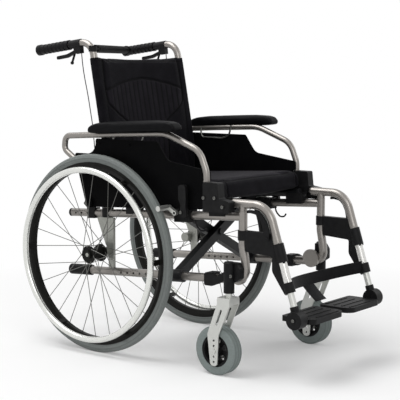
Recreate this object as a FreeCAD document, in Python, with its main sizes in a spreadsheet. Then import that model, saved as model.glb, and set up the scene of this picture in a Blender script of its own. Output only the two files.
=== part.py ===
import FreeCAD, Part
import Sketcher
import math
import os

# Folding wheelchair with spoked rear wheels, casters, swing-away hangers and a scissor frame
# Lengths are in millimetres and angles in degrees
# X points to the sitter's left, forward is minus Y and Z is up

SIZES = [
    # overall
    ("plate_front_lead", 138.4),
    ("clearance", 0.3),
    ("bearing_gap", 0.08),
    ("overrun", 6),
    # rear wheel
    ("wheel_dia", 610),
    ("wheel_offset", 256),
    ("tyre_width", 25),
    ("tyre_depth", 24),
    ("rim_width", 22),
    ("rim_depth", 22),
    ("handrim_dia", 538),
    ("handrim_tube", 19),
    ("handrim_offset", 299),
    ("handrim_tab_width", 16),
    ("handrim_tab_thick", 4),
    ("hub_flange_dia", 54),
    ("hub_flange_thick", 4),
    ("hub_barrel_dia", 34),
    ("hub_outer_reach", 30),
    ("hub_inner_reach", 26),
    ("hub_cap_dia", 26),
    ("hub_cap_length", 6),
    ("spoke_dia", 2.2),
    ("spoke_circle_dia", 46),
    ("spoke_lead_angle", 62),
    ("axle_dia", 12),
    ("axle_nut_dia", 30),
    ("axle_nut_length", 14),
    ("axle_collar_dia", 26),
    ("axle_collar_length", 34),
    # side frame
    ("frame_offset", 204),
    ("rail_dia", 25),
    ("frame_tilt", 3.3),
    ("upper_rail_height", 425),
    ("lower_rail_height", 244),
    ("rail_rear_reach", 140),
    ("rail_plug_length", 8),
    ("lower_sleeve_length", 86),
    ("lower_sleeve_wall", 4),
    ("front_post_reach", 521),
    ("hanger_collar_rise", 20),
    ("post_foot_toe", 13),
    ("post_foot_lift", 9),
    ("post_knee_height", 372),
    ("post_foot_radius", 27),
    ("frame_disc_dia", 56),
    ("frame_disc_thick", 9),
    ("rail_hole_dia", 7),
    ("rail_hole_pitch", 25),
    ("rail_hole_start", 68),
    ("lower_hole_start", -70),
    # axle plate
    ("axle_plate_thick", 9),
    ("axle_plate_width", 66),
    ("axle_plate_front", -33),
    # back post
    ("post_dia", 22),
    ("post_foot_reach", -7),
    ("post_bend_height", 622),
    ("post_recline_angle", 10.5),
    ("post_top_height", 951),
    ("post_bend_radius", 60),
    ("handle_bend_radius", 45),
    ("handle_droop_angle", 6.7),
    ("handle_length", 218),
    ("post_clamp_length", 30),
    ("post_clamp_wall", 7),
    # grip and brake lever
    ("grip_dia", 31),
    ("grip_start", 93),
    ("grip_flare_dia", 34),
    ("grip_length", 138),
    ("grip_rib_height", 1.6),
    ("grip_rib_pitch", 17),
    ("perch_length", 46),
    ("perch_dia", 26.4),
    ("perch_lug_width", 17),
    ("perch_start", 44),
    ("perch_knob_dia", 12),
    ("perch_knob_height", 7),
    ("lever_pivot_reach", 60),
    ("lever_pivot_drop", 22),
    ("lever_splay", 10),
    ("lever_length", 92),
    ("lever_thick", 8),
    ("lever_width", 14),
    ("lever_pin_dia", 5),
    ("catch_length", 34),
    ("catch_width", 7),
    ("catch_ball_dia", 11),
    ("cable_dia", 3),
    ("cable_end_height", 380),
    ("cable_end_reach", 18.5),
    ("cable_inner_reach", 24),
    # caster
    ("caster_dia", 142),
    ("caster_width", 36),
    ("caster_groove", 2),
    ("caster_rim_dia", 94),
    ("caster_offset", 241),
    ("stem_setback", 21),
    ("caster_trail", 36),
    ("stem_dia", 16),
    ("stem_top", 318),
    ("stem_nut_dia", 20),
    ("housing_dia", 31),
    ("housing_foot", 240),
    ("housing_top", 326),
    ("housing_cap_step", 3),
    ("fork_gap", 40),
    ("fork_blade_thick", 4),
    ("fork_width", 24),
    ("fork_bend_width", 40),
    ("fork_bend_shift", 3),
    ("fork_top_lead", 19),
    ("fork_top_trail", 25),
    ("fork_slot_width", 7),
    ("fork_slot_length", 50),
    ("fork_top", 228),
    ("fork_bend_height", 119),
    ("fork_crown_thick", 20),
    ("fork_hole_dia", 6.4),
    ("fork_hole_pitch", 15.5),
    ("caster_bolt_dia", 8),
    ("caster_bolt_head_dia", 14),
    ("caster_bolt_head", 3),
    ("caster_boss_dia", 28),
    ("caster_web_thick", 9),
    ("caster_rim_wall", 7),
    ("caster_window_dia", 19),
    ("caster_arm_thick", 11),
    ("caster_arm_length", 100),
    ("caster_arm_height", 24),
    ("caster_lug_height", 55),
    ("rail_clamp_length", 28),
    ("rail_clamp_size", 36),
    # armrest
    ("arm_offset", 231),
    ("arm_tube_dia", 19),
    ("arm_pivot_reach", 52),
    ("arm_pivot_height", 455),
    ("arm_rear_reach", 149),
    ("arm_top_height", 687),
    ("arm_front_reach", 413),
    ("arm_front_foot", 489),
    ("arm_bend_radius", 22),
    ("arm_front_radius", 60),
    ("arm_pivot_dia", 30),
    ("arm_eye_width", 12),
    ("arm_pin_dia", 8),
    ("pad_length", 340),
    ("pad_width", 46),
    ("pad_thick", 33),
    ("pad_foot_height", 672),
    ("pad_slope", 2.9),
    ("pad_offset", 245.5),
    ("pad_rear_reach", 20),
    ("pad_edge_radius", 7),
    ("panel_thick", 3.5),
    ("panel_gap", 1.2),
    ("panel_top_height", 655),
    ("panel_cut_reach", 26),
    ("panel_cut_size", 48),
    ("panel_nose_reach", -222),
    ("panel_heel_reach", 116),
    ("panel_front_reach", 417),
    ("socket_clear_height", 552.5),
    ("panel_foot_gap", 19),
    ("panel_screw_dia", 8),
    ("panel_screw_head", 2.5),
    ("socket_width", 58),
    ("socket_front_reach", 467),
    ("socket_height", 84),
    ("socket_toe_reach", 34),
    ("socket_toe_height", 34),
    ("socket_wall", 5),
    ("saddle_length", 36),
    ("saddle_wall", 7),
    ("rear_saddle_reach", 110),
    # scissor and seat
    ("brace_reach", 268),
    ("brace_section", 28),
    ("brace_thick", 24),
    ("brace_gap", 4),
    ("brace_sleeve_wall", 6),
    ("brace_sleeve_length", 50),
    ("brace_bolt_dia", 10),
    ("brace_bolt_head_dia", 20),
    ("brace_bolt_head", 6),
    ("seat_tube_dia", 25),
    ("seat_tube_offset", 196),
    ("seat_tube_lift", 33),
    ("seat_tube_front", 450),
    ("seat_tube_rear", 34),
    ("seat_rear", 30),
    ("seat_half_width", 211),
    ("seat_thick", 54),
    ("seat_crown", 8),
    ("seat_side_round", 16),
    # backrest upholstery
    ("back_foot_height", 500),
    ("back_top_drop", 45),
    ("back_wrap", 13),
    ("back_dip", 20),
    ("back_panel_thick", 22),
    # wheel lock
    ("lock_reach", 314),
    ("lock_lever_pivot", 333),
    ("lock_shoe_pivot", 300),
    ("lock_pivot_lift", 8),
    ("lock_clamp_length", 58),
    ("lock_clamp_size", 38),
    ("lock_lever_offset", 235),
    ("lock_lever_height", 84),
    ("lock_lever_width", 28),
    ("lock_lever_thick", 12),
    ("lock_shoe_dia", 16),
    ("lock_shoe_length", 44),
    ("lock_shoe_gap", 6.4),
    ("lock_shoe_rise", 161),
    ("lock_arm_width", 14),
    ("lock_pin_dia", 8),
    # hanger, leg and footplate
    ("hanger_rear_setback", 30),
    ("hanger_height", 491),
    ("hanger_corner_lead", 85.6),
    ("hanger_angle", 72),
    ("hanger_bend_radius", 62),
    ("hanger_tube_foot", 376),
    ("lower_tube_dia", 24),
    ("lower_tube_foot", 256),
    ("leg_tube_dia", 19),
    ("leg_overlap", 98),
    ("hanger_pin_dia", 16),
    ("hanger_pin_length", 34),
    ("collar_wall", 6),
    ("bracket_ring_wall", 2.4),
    ("shell_depth", 34),
    ("collar_top", 416),
    ("collar_height", 28),
    ("collar_foot", 352),
    ("bracket_thick", 20),
    ("sleeve_wall", 3.5),
    ("sleeve_foot", 338),
    ("sleeve_top", 388),
    ("clip_top", 284),
    ("release_pivot_lead", 92),
    ("release_pivot_height", 405),
    ("release_pin_dia", 7),
    ("release_thick", 5),
    ("release_eye_dia", 16),
    ("release_bend_radius", 14),
    ("release_pin_end", 1.5),
    ("release_rise", 73),
    ("release_reach", 67),
    ("knuckle_dia", 50),
    ("knuckle_inner", 190),
    ("knuckle_outer", 224),
    ("knuckle_height", 183),
    ("knuckle_neck_top", 219),
    ("plate_hinge_offset", 172),
    ("plate_hinge_dia", 8),
    ("plate_hinge_length", 60),
    ("plate_lug_width", 26),
    ("plate_thick", 15),
    ("plate_outer", 183),
    ("plate_inner", 13.5),
    ("plate_rear_lead", 31.4),
    ("plate_corner", 18),
    ("plate_rib_height", 1.5),
    ("plate_rib_width", 5),
    ("plate_height", 184),
    # straps and stabiliser bar
    ("strap_height", 36),
    ("strap_thick", 3),
    ("strap_level", 274),
    ("strap_mid_lead", 11.4),
    ("heel_width", 58),
    ("heel_foot_level", 190),
    ("heel_foot_lead", 48.4),
    ("bar_dia", 25),
    ("bar_length", 370),
    ("bar_stand_off", 33),
    ("bar_drop", 23),
    ("bar_swing_angle", 26.7),
    ("bar_lug_dia", 22),
    ("bar_lug_thick", 6),
    ("bar_collar_dia", 29),
    ("bar_collar_length", 7),
    ("bar_ring_wall", 2.2),
    ("bar_pin_dia", 8),
]
SPOKE_COUNT = 28
TAB_COUNT = 6
WINDOW_COUNT = 5
FORK_HOLE_COUNT = 5
UPPER_HOLE_COUNT = 3
LOWER_HOLE_COUNT = 6
CASTER_GROOVE_COUNT = 5
GRIP_RIB_COUNT = 6
PLATE_RIB_COUNT = 4

doc = FreeCAD.newDocument("Wheelchair")
sheet = doc.addObject("Spreadsheet::Sheet", "Sizes")
for row, (alias, number) in enumerate(SIZES, start=1):
    sheet.set("A%d" % row, alias)
    sheet.set("B%d" % row, str(number))
    sheet.setAlias("B%d" % row, alias)
doc.recompute()

X_AXIS = FreeCAD.Vector(1, 0, 0)
Y_AXIS = FreeCAD.Vector(0, 1, 0)
Z_AXIS = FreeCAD.Vector(0, 0, 1)
ORIGIN = FreeCAD.Vector(0, 0, 0)


def size(alias):
    return float(sheet.get(alias))


AXLE_Z = size("wheel_dia") / 2
TILT = math.radians(size("frame_tilt"))
RAIL_DIRECTION = FreeCAD.Vector(0, -math.cos(TILT), math.sin(TILT))


# Places that follow the front post, the hanger or the back post's top
def hanger_corner():
    return size("front_post_reach") + size("hanger_corner_lead")


def hanger_rear():
    return size("front_post_reach") - size("hanger_rear_setback")


def release_pivot():
    return size("front_post_reach") + size("release_pivot_lead")


def front_post_high():
    return size("hanger_height") - size("hanger_collar_rise")


def caster_stem():
    return size("front_post_reach") - size("stem_setback")


def front_reach():
    return hanger_corner() + size("plate_front_lead")


def plate_rear():
    return hanger_corner() + size("plate_rear_lead")


def strap_middle():
    return hanger_corner() + size("strap_mid_lead")


def heel_foot():
    return hanger_corner() + size("heel_foot_lead")


def back_high():
    return size("post_top_height") - size("back_top_drop")


def bar_level():
    return size("post_top_height") - size("bar_drop")


# The axle's place puts the whole chair's middle on the origin
AXLE_Y = (front_reach() - size("wheel_dia") / 2) / 2


# A place given by its side offset, its distance behind the rear axle and its height
def place(x, back, z):
    return FreeCAD.Vector(x, AXLE_Y + back, z)


def upper_rail_z(back):
    return size("upper_rail_height") - back * math.tan(TILT)


def lower_rail_z(back):
    return size("lower_rail_height") - back * math.tan(TILT)


def seat_tube_z(back):
    return upper_rail_z(back) + size("seat_tube_lift")


def turn_to(direction):
    return FreeCAD.Rotation(Z_AXIS, direction)


def cylinder(name, radius, height, start, direction=X_AXIS):
    piece = doc.addObject("Part::Cylinder", name)
    piece.setExpression("Radius", radius)
    piece.setExpression("Height", height)
    piece.Placement = FreeCAD.Placement(start, turn_to(direction))
    return piece


# A cylinder between two places, with its length found from them
def bar(name, radius, start, end):
    piece = doc.addObject("Part::Cylinder", name)
    piece.setExpression("Radius", radius)
    piece.Height = (end - start).Length
    piece.Placement = FreeCAD.Placement(start, turn_to(end - start))
    return piece


def block(name, low, high):
    piece = doc.addObject("Part::Box", name)
    piece.Length = high.x - low.x
    piece.Width = high.y - low.y
    piece.Height = high.z - low.z
    piece.Placement = FreeCAD.Placement(low, FreeCAD.Rotation())
    return piece


# A block centred on a place and turned with the rails
def tilted_block(name, centre, across, along, tall):
    piece = doc.addObject("Part::Box", name)
    piece.Length = across
    piece.Width = along
    piece.Height = tall
    turn = FreeCAD.Rotation(X_AXIS, -size("frame_tilt"))
    corner = turn.multVec(FreeCAD.Vector(across, along, tall)) / 2
    piece.Placement = FreeCAD.Placement(centre - corner, turn)
    return piece


def fuse(name, pieces):
    joined = doc.addObject("Part::MultiFuse", name)
    joined.Shapes = pieces
    joined.Refine = False
    return joined


def cut(name, base, tools):
    tool = tools[0]
    if len(tools) > 1:
        tool = fuse(name + "_tools", tools)
    result = doc.addObject("Part::Cut", name)
    result.Base = base
    result.Tool = tool
    return result


def compound(name, pieces):
    group = doc.addObject("Part::Compound", name)
    group.Links = pieces
    return group


def origin_plane(body, role):
    for feature in body.Origin.OriginFeatures:
        if feature.Role == role:
            return feature
    raise ValueError(role)


def add_sketch(body, name, role):
    sketch = body.newObject("Sketcher::SketchObject", name)
    sketch.AttachmentSupport = [(origin_plane(body, role), "")]
    sketch.MapMode = "FlatFace"
    return sketch


# Lines through the points, with a rounded corner where a radius is given
def outline_edges(points, radii, closed):
    count = len(points)
    starts = []
    arcs = []
    for index in range(count):
        here = points[index]
        radius = radii[index] if radii else 0
        inner = closed or 0 < index < count - 1
        if not inner or radius <= 0:
            starts.append((here, here))
            arcs.append(None)
            continue
        before = points[index - 1]
        after = points[(index + 1) % count]
        one = (before - here).normalize()
        two = (after - here).normalize()
        half = one.getAngle(two) / 2
        reach = radius / math.tan(half)
        first = here + one * reach
        last = here + two * reach
        centre = here + (one + two).normalize() * (radius / math.sin(half))
        middle = centre + (here - centre).normalize() * radius
        starts.append((first, last))
        arcs.append((first, middle, last))
    edges = []
    for index in range(count):
        if arcs[index]:
            edges.append(Part.Arc(*arcs[index]))
        if index < count - 1 or closed:
            tail = starts[index][1]
            head = starts[(index + 1) % count][0]
            if (tail - head).Length > 0:
                edges.append(Part.LineSegment(tail, head))
    return edges


def flat(points):
    return [FreeCAD.Vector(first, second, 0) for first, second in points]


# A plate drawn on the side plane and padded outwards along X
def side_plate(name, points, radii, thickness, x, holes=()):
    body = doc.addObject("PartDesign::Body", name)
    sketch = add_sketch(body, name + "_outline", "YZ_Plane")
    for edge in outline_edges(flat(points), radii, True):
        sketch.addGeometry(edge, False)
    for back, height, radius in holes:
        hole = Part.Circle(FreeCAD.Vector(back, height, 0), Z_AXIS, radius)
        sketch.addGeometry(hole, False)
    pad = body.newObject("PartDesign::Pad", name + "_pad")
    pad.Profile = sketch
    if isinstance(thickness, str):
        pad.setExpression("Length", thickness)
    else:
        pad.Length = thickness
    sketch.Visibility = False
    body.Placement = FreeCAD.Placement(FreeCAD.Vector(x, AXLE_Y, 0), FreeCAD.Rotation())
    return body


# A closed profile of offsets along the axis and radii, turned about the body's X axis
def turned(name, profile, where, direction=X_AXIS):
    body = doc.addObject("PartDesign::Body", name)
    sketch = add_sketch(body, name + "_profile", "XY_Plane")
    for edge in outline_edges(flat(profile), None, True):
        sketch.addGeometry(edge, False)
    spin = body.newObject("PartDesign::Revolution", name + "_turn")
    spin.Profile = sketch
    spin.ReferenceAxis = (sketch, ["H_Axis"])
    spin.Angle = 360
    sketch.Visibility = False
    body.Placement = FreeCAD.Placement(where, FreeCAD.Rotation(X_AXIS, direction))
    return body


# A round tube bent in the side plane
def bent_tube(name, points, radii, dia, x):
    body = doc.addObject("PartDesign::Body", name)
    path = add_sketch(body, name + "_path", "YZ_Plane")
    edges = outline_edges(flat(points), radii, False)
    for edge in edges:
        path.addGeometry(edge, False)
    doc.recompute()
    ring = body.newObject("Sketcher::SketchObject", name + "_ring")
    ring.AttachmentSupport = [(path, "Edge1")]
    ring.MapMode = "NormalToEdge"
    ring.addGeometry(Part.Circle(ORIGIN, Z_AXIS, size("rail_dia")), False)
    ring.addConstraint(Sketcher.Constraint("Coincident", 0, 3, -1, 1))
    ring.addConstraint(Sketcher.Constraint("Diameter", 0, size("rail_dia")))
    ring.renameConstraint(1, "tube_dia")
    ring.setExpression("Constraints.tube_dia", dia)
    doc.recompute()
    pipe = body.newObject("PartDesign::AdditivePipe", name + "_pipe")
    pipe.Profile = ring
    pipe.Spine = (path, ["Edge%d" % (index + 1) for index in range(len(edges))])
    path.Visibility = False
    ring.Visibility = False
    body.Placement = FreeCAD.Placement(FreeCAD.Vector(x, AXLE_Y, 0), FreeCAD.Rotation())
    return body


# Places found from shares of a named length and height, counted from a corner
def from_shares(shares, back, z, length, height):
    return [(back + length * one, z + height * two) for one, two in shares]


# Rear wheel
TYRE_SHARES = [(-0.2, 1), (0.2, 1), (0.42, 0.84), (0.5, 0.5), (0.4, 0), (-0.4, 0), (-0.5, 0.5),
               (-0.42, 0.84)]
RIM_SHARES = [(-0.5, 1), (0.5, 1), (0.5, 0.55), (0.3, 0), (-0.3, 0), (-0.5, 0.55)]


def tyre():
    bead = size("wheel_dia") / 2 - size("tyre_depth")
    profile = [(size("tyre_width") * one, bead + size("tyre_depth") * two) for one, two in TYRE_SHARES]
    where = place(-size("wheel_offset"), 0, AXLE_Z)
    return turned("tyre", profile, where)


def rim_seat_radius():
    return size("wheel_dia") / 2 - size("tyre_depth") - size("clearance") / 2


def rim_and_hub():
    foot = rim_seat_radius() - size("rim_depth")
    profile = [(size("rim_width") * one, foot + size("rim_depth") * two) for one, two in RIM_SHARES]
    where = place(-size("wheel_offset"), 0, AXLE_Z)
    ring = turned("rim_ring", profile, where)
    tabs = [ring]
    tab_foot = (size("handrim_dia") - size("handrim_tube") - size("handrim_tab_thick")) / 2
    reach = size("handrim_offset") - size("handrim_tube") / 2 - size("wheel_offset")
    for index in range(TAB_COUNT):
        angle = 360 * (index + 0.5) / TAB_COUNT
        tab = doc.addObject("Part::Box", "handrim_tab")
        tab.setExpression("Width", "Sizes.handrim_tab_width")
        tab.setExpression("Height", "Sizes.handrim_tab_thick")
        tab.Length = reach - size("clearance")
        turn = FreeCAD.Rotation(X_AXIS, angle)
        corner = FreeCAD.Vector(-tab.Length.Value, -size("handrim_tab_width") / 2, tab_foot)
        tab.Placement = FreeCAD.Placement(where + turn.multVec(corner), turn)
        tabs.append(tab)
    rim = fuse("rim_with_tabs", tabs)
    return compound("rim_and_hub", [rim, hub(where)])


def hub(where):
    flange = size("hub_flange_dia") / 2
    barrel = size("hub_barrel_dia") / 2
    bore = size("axle_dia") / 2 + size("bearing_gap")
    outer = -size("hub_outer_reach")
    inner = size("hub_inner_reach")
    thick = size("hub_flange_thick")
    cap = size("hub_cap_dia") / 2
    profile = [
        (outer - size("hub_cap_length"), bore),
        (outer - size("hub_cap_length"), cap),
        (outer, cap),
        (outer, flange),
        (outer + thick, flange),
        (outer + thick, barrel),
        (inner - thick, barrel),
        (inner - thick, flange),
        (inner, flange),
        (inner, bore),
    ]
    return turned("hub", profile, where)


def handrim():
    ring = doc.addObject("Part::Torus", "handrim")
    ring.setExpression("Radius1", "(Sizes.handrim_dia - Sizes.handrim_tube) / 2")
    ring.setExpression("Radius2", "Sizes.handrim_tube / 2")
    where = place(-size("handrim_offset"), 0, AXLE_Z)
    ring.Placement = FreeCAD.Placement(where, turn_to(X_AXIS))
    return ring


# Spokes cross on both faces of each hub flange and meet the rim near its middle
def spokes():
    rods = []
    radius = size("spoke_dia") / 2
    seat_gap = radius + size("bearing_gap")
    rim_end = rim_seat_radius() - size("rim_depth") - size("clearance")
    flange_end = size("spoke_circle_dia") / 2
    flanges = [-size("hub_outer_reach"), size("hub_inner_reach") - size("hub_flange_thick")]
    for index in range(SPOKE_COUNT):
        at_rim = 2 * math.pi * index / SPOKE_COUNT
        lead = math.radians(size("spoke_lead_angle"))
        at_inner = index % 2
        face = -seat_gap - radius * (1 - at_inner)
        if index // 2 % 2:
            lead = -lead
            face = size("hub_flange_thick") + seat_gap + radius * at_inner
        at_hub = at_rim + lead
        x = flanges[at_inner] + face
        rim_x = seat_gap * (2 * at_inner - 1)
        start = place(x - size("wheel_offset"), flange_end * math.sin(at_hub),
                      AXLE_Z + flange_end * math.cos(at_hub))
        end = place(rim_x - size("wheel_offset"), rim_end * math.sin(at_rim),
                    AXLE_Z + rim_end * math.cos(at_rim))
        run = end - start
        rods.append(Part.makeCylinder(radius, run.Length, start, run))
    piece = doc.addObject("Part::Feature", "spokes")
    piece.Shape = Part.makeCompound(rods)
    return piece


# Side frame
def side_frame():
    x = -size("frame_offset")
    radius = "Sizes.rail_dia / 2"
    rear = size("rail_rear_reach")
    front = -size("front_post_reach")
    join = front + size("rail_dia") / 8
    upper = bar("upper_rail", radius, place(x, rear, upper_rail_z(rear)),
                place(x, join, upper_rail_z(join)))
    lower = bent_tube("lower_rail", post_foot_points(), post_foot_radii(), "Sizes.rail_dia", x)
    disc_x = x + size("rail_dia") / 2 - size("overrun") / 2
    disc = cylinder("frame_disc", "Sizes.frame_disc_dia / 2", "Sizes.frame_disc_thick",
                    place(disc_x, front + size("rail_dia"), lower_rail_z(front) + size("post_foot_lift")))
    frame = fuse("welded_frame", [upper, lower, disc])
    drills = []
    for index in range(UPPER_HOLE_COUNT):
        back = size("rail_hole_start") + size("rail_hole_pitch") * index
        drills.append(rail_drill(back, upper_rail_z(back)))
    for index in range(LOWER_HOLE_COUNT):
        back = size("lower_hole_start") - size("rail_hole_pitch") * index
        drills.append(rail_drill(back, lower_rail_z(back)))
    pin_foot = front_post_high() - size("hanger_pin_length")
    drills.append(bar("hanger_pin_bore", "Sizes.hanger_pin_dia / 2 + Sizes.bearing_gap",
                      place(x, front, pin_foot),
                      place(x, front, front_post_high() + size("overrun"))))
    return cut("side_frame", frame, drills)


# The lower rail bends up into the front post, which stands a little forward at its foot
def post_foot_points():
    rear = size("rail_rear_reach")
    front = -size("front_post_reach")
    toe = front - size("post_foot_toe")
    last = front + size("post_foot_toe") * 3
    low = lower_rail_z(front) + size("post_foot_lift")
    knee = size("post_knee_height")
    return [
        (rear, lower_rail_z(rear)),
        (last, lower_rail_z(last)),
        (toe, low),
        (toe + size("post_foot_lift") / 2, (low + knee) / 2),
        (front, knee),
        (front, front_post_high()),
    ]


def post_foot_radii():
    bend = size("post_foot_radius")
    return [0, bend, bend, bend * 2, bend * 2, 0]


def rail_drill(back, z):
    reach = size("rail_dia") / 2 + size("overrun")
    start = place(-size("frame_offset") - reach, back, z)
    return bar("rail_drill", "Sizes.rail_hole_dia / 2", start, start + X_AXIS * (2 * reach))


def post_points():
    recline = math.tan(math.radians(size("post_recline_angle")))
    foot = (size("post_foot_reach"), upper_rail_z(size("post_foot_reach")))
    bend = (size("post_foot_reach"), size("post_bend_height"))
    top_back = size("post_foot_reach") + (size("post_top_height") - size("post_bend_height")) * recline
    top = (top_back, size("post_top_height"))
    droop = math.radians(size("handle_droop_angle"))
    end = (top_back + size("handle_length") * math.cos(droop),
           size("post_top_height") - size("handle_length") * math.sin(droop))
    return [foot, bend, top, end]


def post_radii():
    return [0, size("post_bend_radius"), size("handle_bend_radius"), 0]


def back_post():
    tube = bent_tube("back_post_tube", post_points(), post_radii(), "Sizes.post_dia", -size("frame_offset"))
    return cut("back_post", tube, [rail_cutter(upper_rail_z, size("clearance"))])


def handle_point(distance):
    corner = post_points()[2]
    droop = math.radians(size("handle_droop_angle"))
    return (corner[0] + distance * math.cos(droop), corner[1] - distance * math.sin(droop))


def handle_direction():
    droop = math.radians(size("handle_droop_angle"))
    return FreeCAD.Vector(0, math.cos(droop), -math.sin(droop))


def push_grip():
    start = place(-size("frame_offset"), *handle_point(size("grip_start")))
    base = size("grip_dia") / 2 - size("grip_rib_height")
    rib = size("grip_dia") / 2
    bore = size("post_dia") / 2 + size("bearing_gap")
    tube_end = size("handle_length") - size("grip_start") + size("clearance")
    pitch = size("grip_rib_pitch")
    profile = [(0, bore), (0, rib)]
    for index in range(GRIP_RIB_COUNT):
        edge = pitch * (index + 0.5)
        profile.append((edge, rib))
        profile.append((edge + size("grip_rib_height"), base))
        profile.append((edge + pitch / 2, base))
        profile.append((edge + pitch / 2 + size("grip_rib_height"), rib))
    flare = size("grip_length") - pitch
    profile.append((flare, rib))
    profile.append((flare + size("grip_rib_height"), size("grip_flare_dia") / 2))
    profile.append((size("grip_length") - size("grip_rib_height"), size("grip_flare_dia") / 2))
    profile.append((size("grip_length"), rib))
    profile.append((size("grip_length"), 0))
    profile.append((tube_end, 0))
    profile.append((tube_end, bore))
    return turned("push_grip", profile, start, handle_direction())


# A place on the handle's side plane by its distance along the tube and its drop below it
def below_handle(distance, drop):
    back, height = handle_point(distance)
    droop = math.radians(size("handle_droop_angle"))
    return (back - drop * math.sin(droop), height - drop * math.cos(droop))


def perch_foot():
    return size("lever_pivot_drop") + size("perch_knob_dia") * 0.75


def brake_perch():
    x = -size("frame_offset")
    start = place(x, *handle_point(size("perch_start")))
    ring = cylinder("perch_ring", "Sizes.perch_dia / 2", "Sizes.perch_length", start, handle_direction())
    first = size("perch_start") + size("clearance")
    last = size("lever_pivot_reach") + size("perch_knob_dia")
    foot = perch_foot()
    outline = [below_handle(first, 0), below_handle(first, foot), below_handle(last, foot),
               below_handle(last, 0)]
    lug = side_plate("perch_lug", outline, None, "Sizes.perch_lug_width", x - size("perch_lug_width") / 2)
    tube = bar("perch_bore", "Sizes.post_dia / 2 + Sizes.bearing_gap",
               start - handle_direction() * size("overrun"),
               start + handle_direction() * (size("perch_length") + size("overrun")))
    slot_low = below_handle(first + size("perch_knob_height"), size("perch_dia") / 2)
    slot_outline = [
        slot_low,
        below_handle(first + size("perch_knob_height"), foot + size("overrun")),
        below_handle(last + size("overrun"), foot + size("overrun")),
        below_handle(last + size("overrun"), size("perch_dia") / 2),
    ]
    slot_x = x - size("lever_thick") / 2 - size("clearance")
    slot = side_plate("perch_slot", slot_outline, None, "Sizes.lever_thick + 2 * Sizes.clearance", slot_x)
    shell = cut("perch_shell", fuse("perch_solid", [ring, lug]), [tube, slot])
    back, height = below_handle(size("lever_pivot_reach"), size("lever_pivot_drop"))
    pin = cylinder("perch_pin", "Sizes.lever_pin_dia / 2", "Sizes.perch_lug_width",
                   place(x - size("perch_lug_width") / 2, back, height))
    return fuse("brake_perch", [shell, pin])


def brake_lever():
    x = -size("frame_offset")
    pivot = size("lever_pivot_reach")
    drop = size("lever_pivot_drop")
    wide = size("lever_width")
    long = size("lever_length")
    tip_drop = drop + size("lever_splay")
    outline = [
        below_handle(pivot - wide / 2, drop - wide / 4),
        below_handle(pivot + wide, drop - wide / 4),
        below_handle(pivot + long / 2, drop + size("lever_splay") / 2),
        below_handle(pivot + long, tip_drop - wide / 4),
        below_handle(pivot + long, tip_drop + wide / 2),
        below_handle(pivot + long / 2, drop + size("lever_splay") / 2 + wide * 0.8),
        below_handle(pivot + wide, drop + wide / 2),
        below_handle(pivot - wide / 2, drop + wide / 2),
    ]
    radii = [wide / 3, long / 2, long / 2, wide / 4, wide / 4, long / 2, long / 2, wide / 3]
    blade = side_plate("lever_blade", outline, radii, "Sizes.lever_thick", x - size("lever_thick") / 2)
    back, height = below_handle(pivot, drop)
    hole_start = place(x - size("lever_thick"), back, height)
    hole = cylinder("lever_hole", "Sizes.lever_pin_dia / 2 + Sizes.bearing_gap", "2 * Sizes.lever_thick",
                    hole_start)
    catch_back, catch_height = below_handle(pivot + wide, drop + wide / 4)
    end_back, end_height = below_handle(pivot + wide + size("catch_length") / 2,
                                        drop + size("catch_length"))
    root = place(x, catch_back, catch_height)
    tip = place(x, end_back, end_height)
    rod = bar("catch_rod", "Sizes.catch_width / 2", root, tip)
    ball = doc.addObject("Part::Sphere", "catch_ball")
    ball.setExpression("Radius", "Sizes.catch_ball_dia / 2")
    ball.Placement = FreeCAD.Placement(tip, FreeCAD.Rotation())
    return fuse("brake_lever", [cut("lever_drilled", blade, [hole]), rod, ball])


# The cable's route from the perch down behind the post and inside the rail to the axle plate
CABLE_SHARES = [
    (0, 1, 1),
    (0, 0.963, 0.94),
    (0, 0.851, 0.856),
    (0, 0.689, 0.765),
    (-0.042, 0.553, 0.673),
    (0.042, 0.453, 0.583),
    (0, 0.379, 0.4925),
    (0.042, 0.317, 0.402),
    (0.25, 0.28, 0.318),
    (0.583, 0.255, 0.237),
    (0.917, 0.242, 0.16),
    (1, 0.18, 0.088),
    (0.958, 0.081, 0.036),
    (0.729, 0.019, 0.0075),
    (0.217, 0, 0),
]


def cable_points():
    start_back, start_height = below_handle(size("perch_start") + size("cable_dia"),
                                            perch_foot() + size("clearance"))
    end_back = size("cable_end_reach")
    end_height = size("cable_end_height")
    points = []
    for inward, along, up in CABLE_SHARES:
        points.append(place(-size("frame_offset") + size("cable_inner_reach") * inward,
                            end_back + (start_back - end_back) * along,
                            end_height + (start_height - end_height) * up))
    return points


# Straight runs joined by arcs as large as the runs allow, swept with the cable's section
def brake_cable():
    points = cable_points()
    radii = [0]
    for before, here, after in zip(points, points[1:], points[2:]):
        run = min((here - before).Length, (after - here).Length)
        turn = (here - before).getAngle(after - here)
        radii.append(0.45 * run / math.tan(turn / 2))
    radii.append(0)
    edges = [edge.toShape() for edge in outline_edges(points, radii, False)]
    path = Part.Wire(edges)
    ring = Part.Wire(Part.makeCircle(size("cable_dia") / 2, points[0], points[1] - points[0]))
    piece = doc.addObject("Part::Feature", "brake_cable")
    piece.Shape = path.makePipeShell([ring], True, False)
    return piece


# Axle plate with its receiver, the axle and the inner nut
PLATE_SHARES = [(0, 1), (0, 0), (0.32, 0), (0.32, 0.42), (0.5, 0.5), (1, 0.96), (1, 1)]


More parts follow.
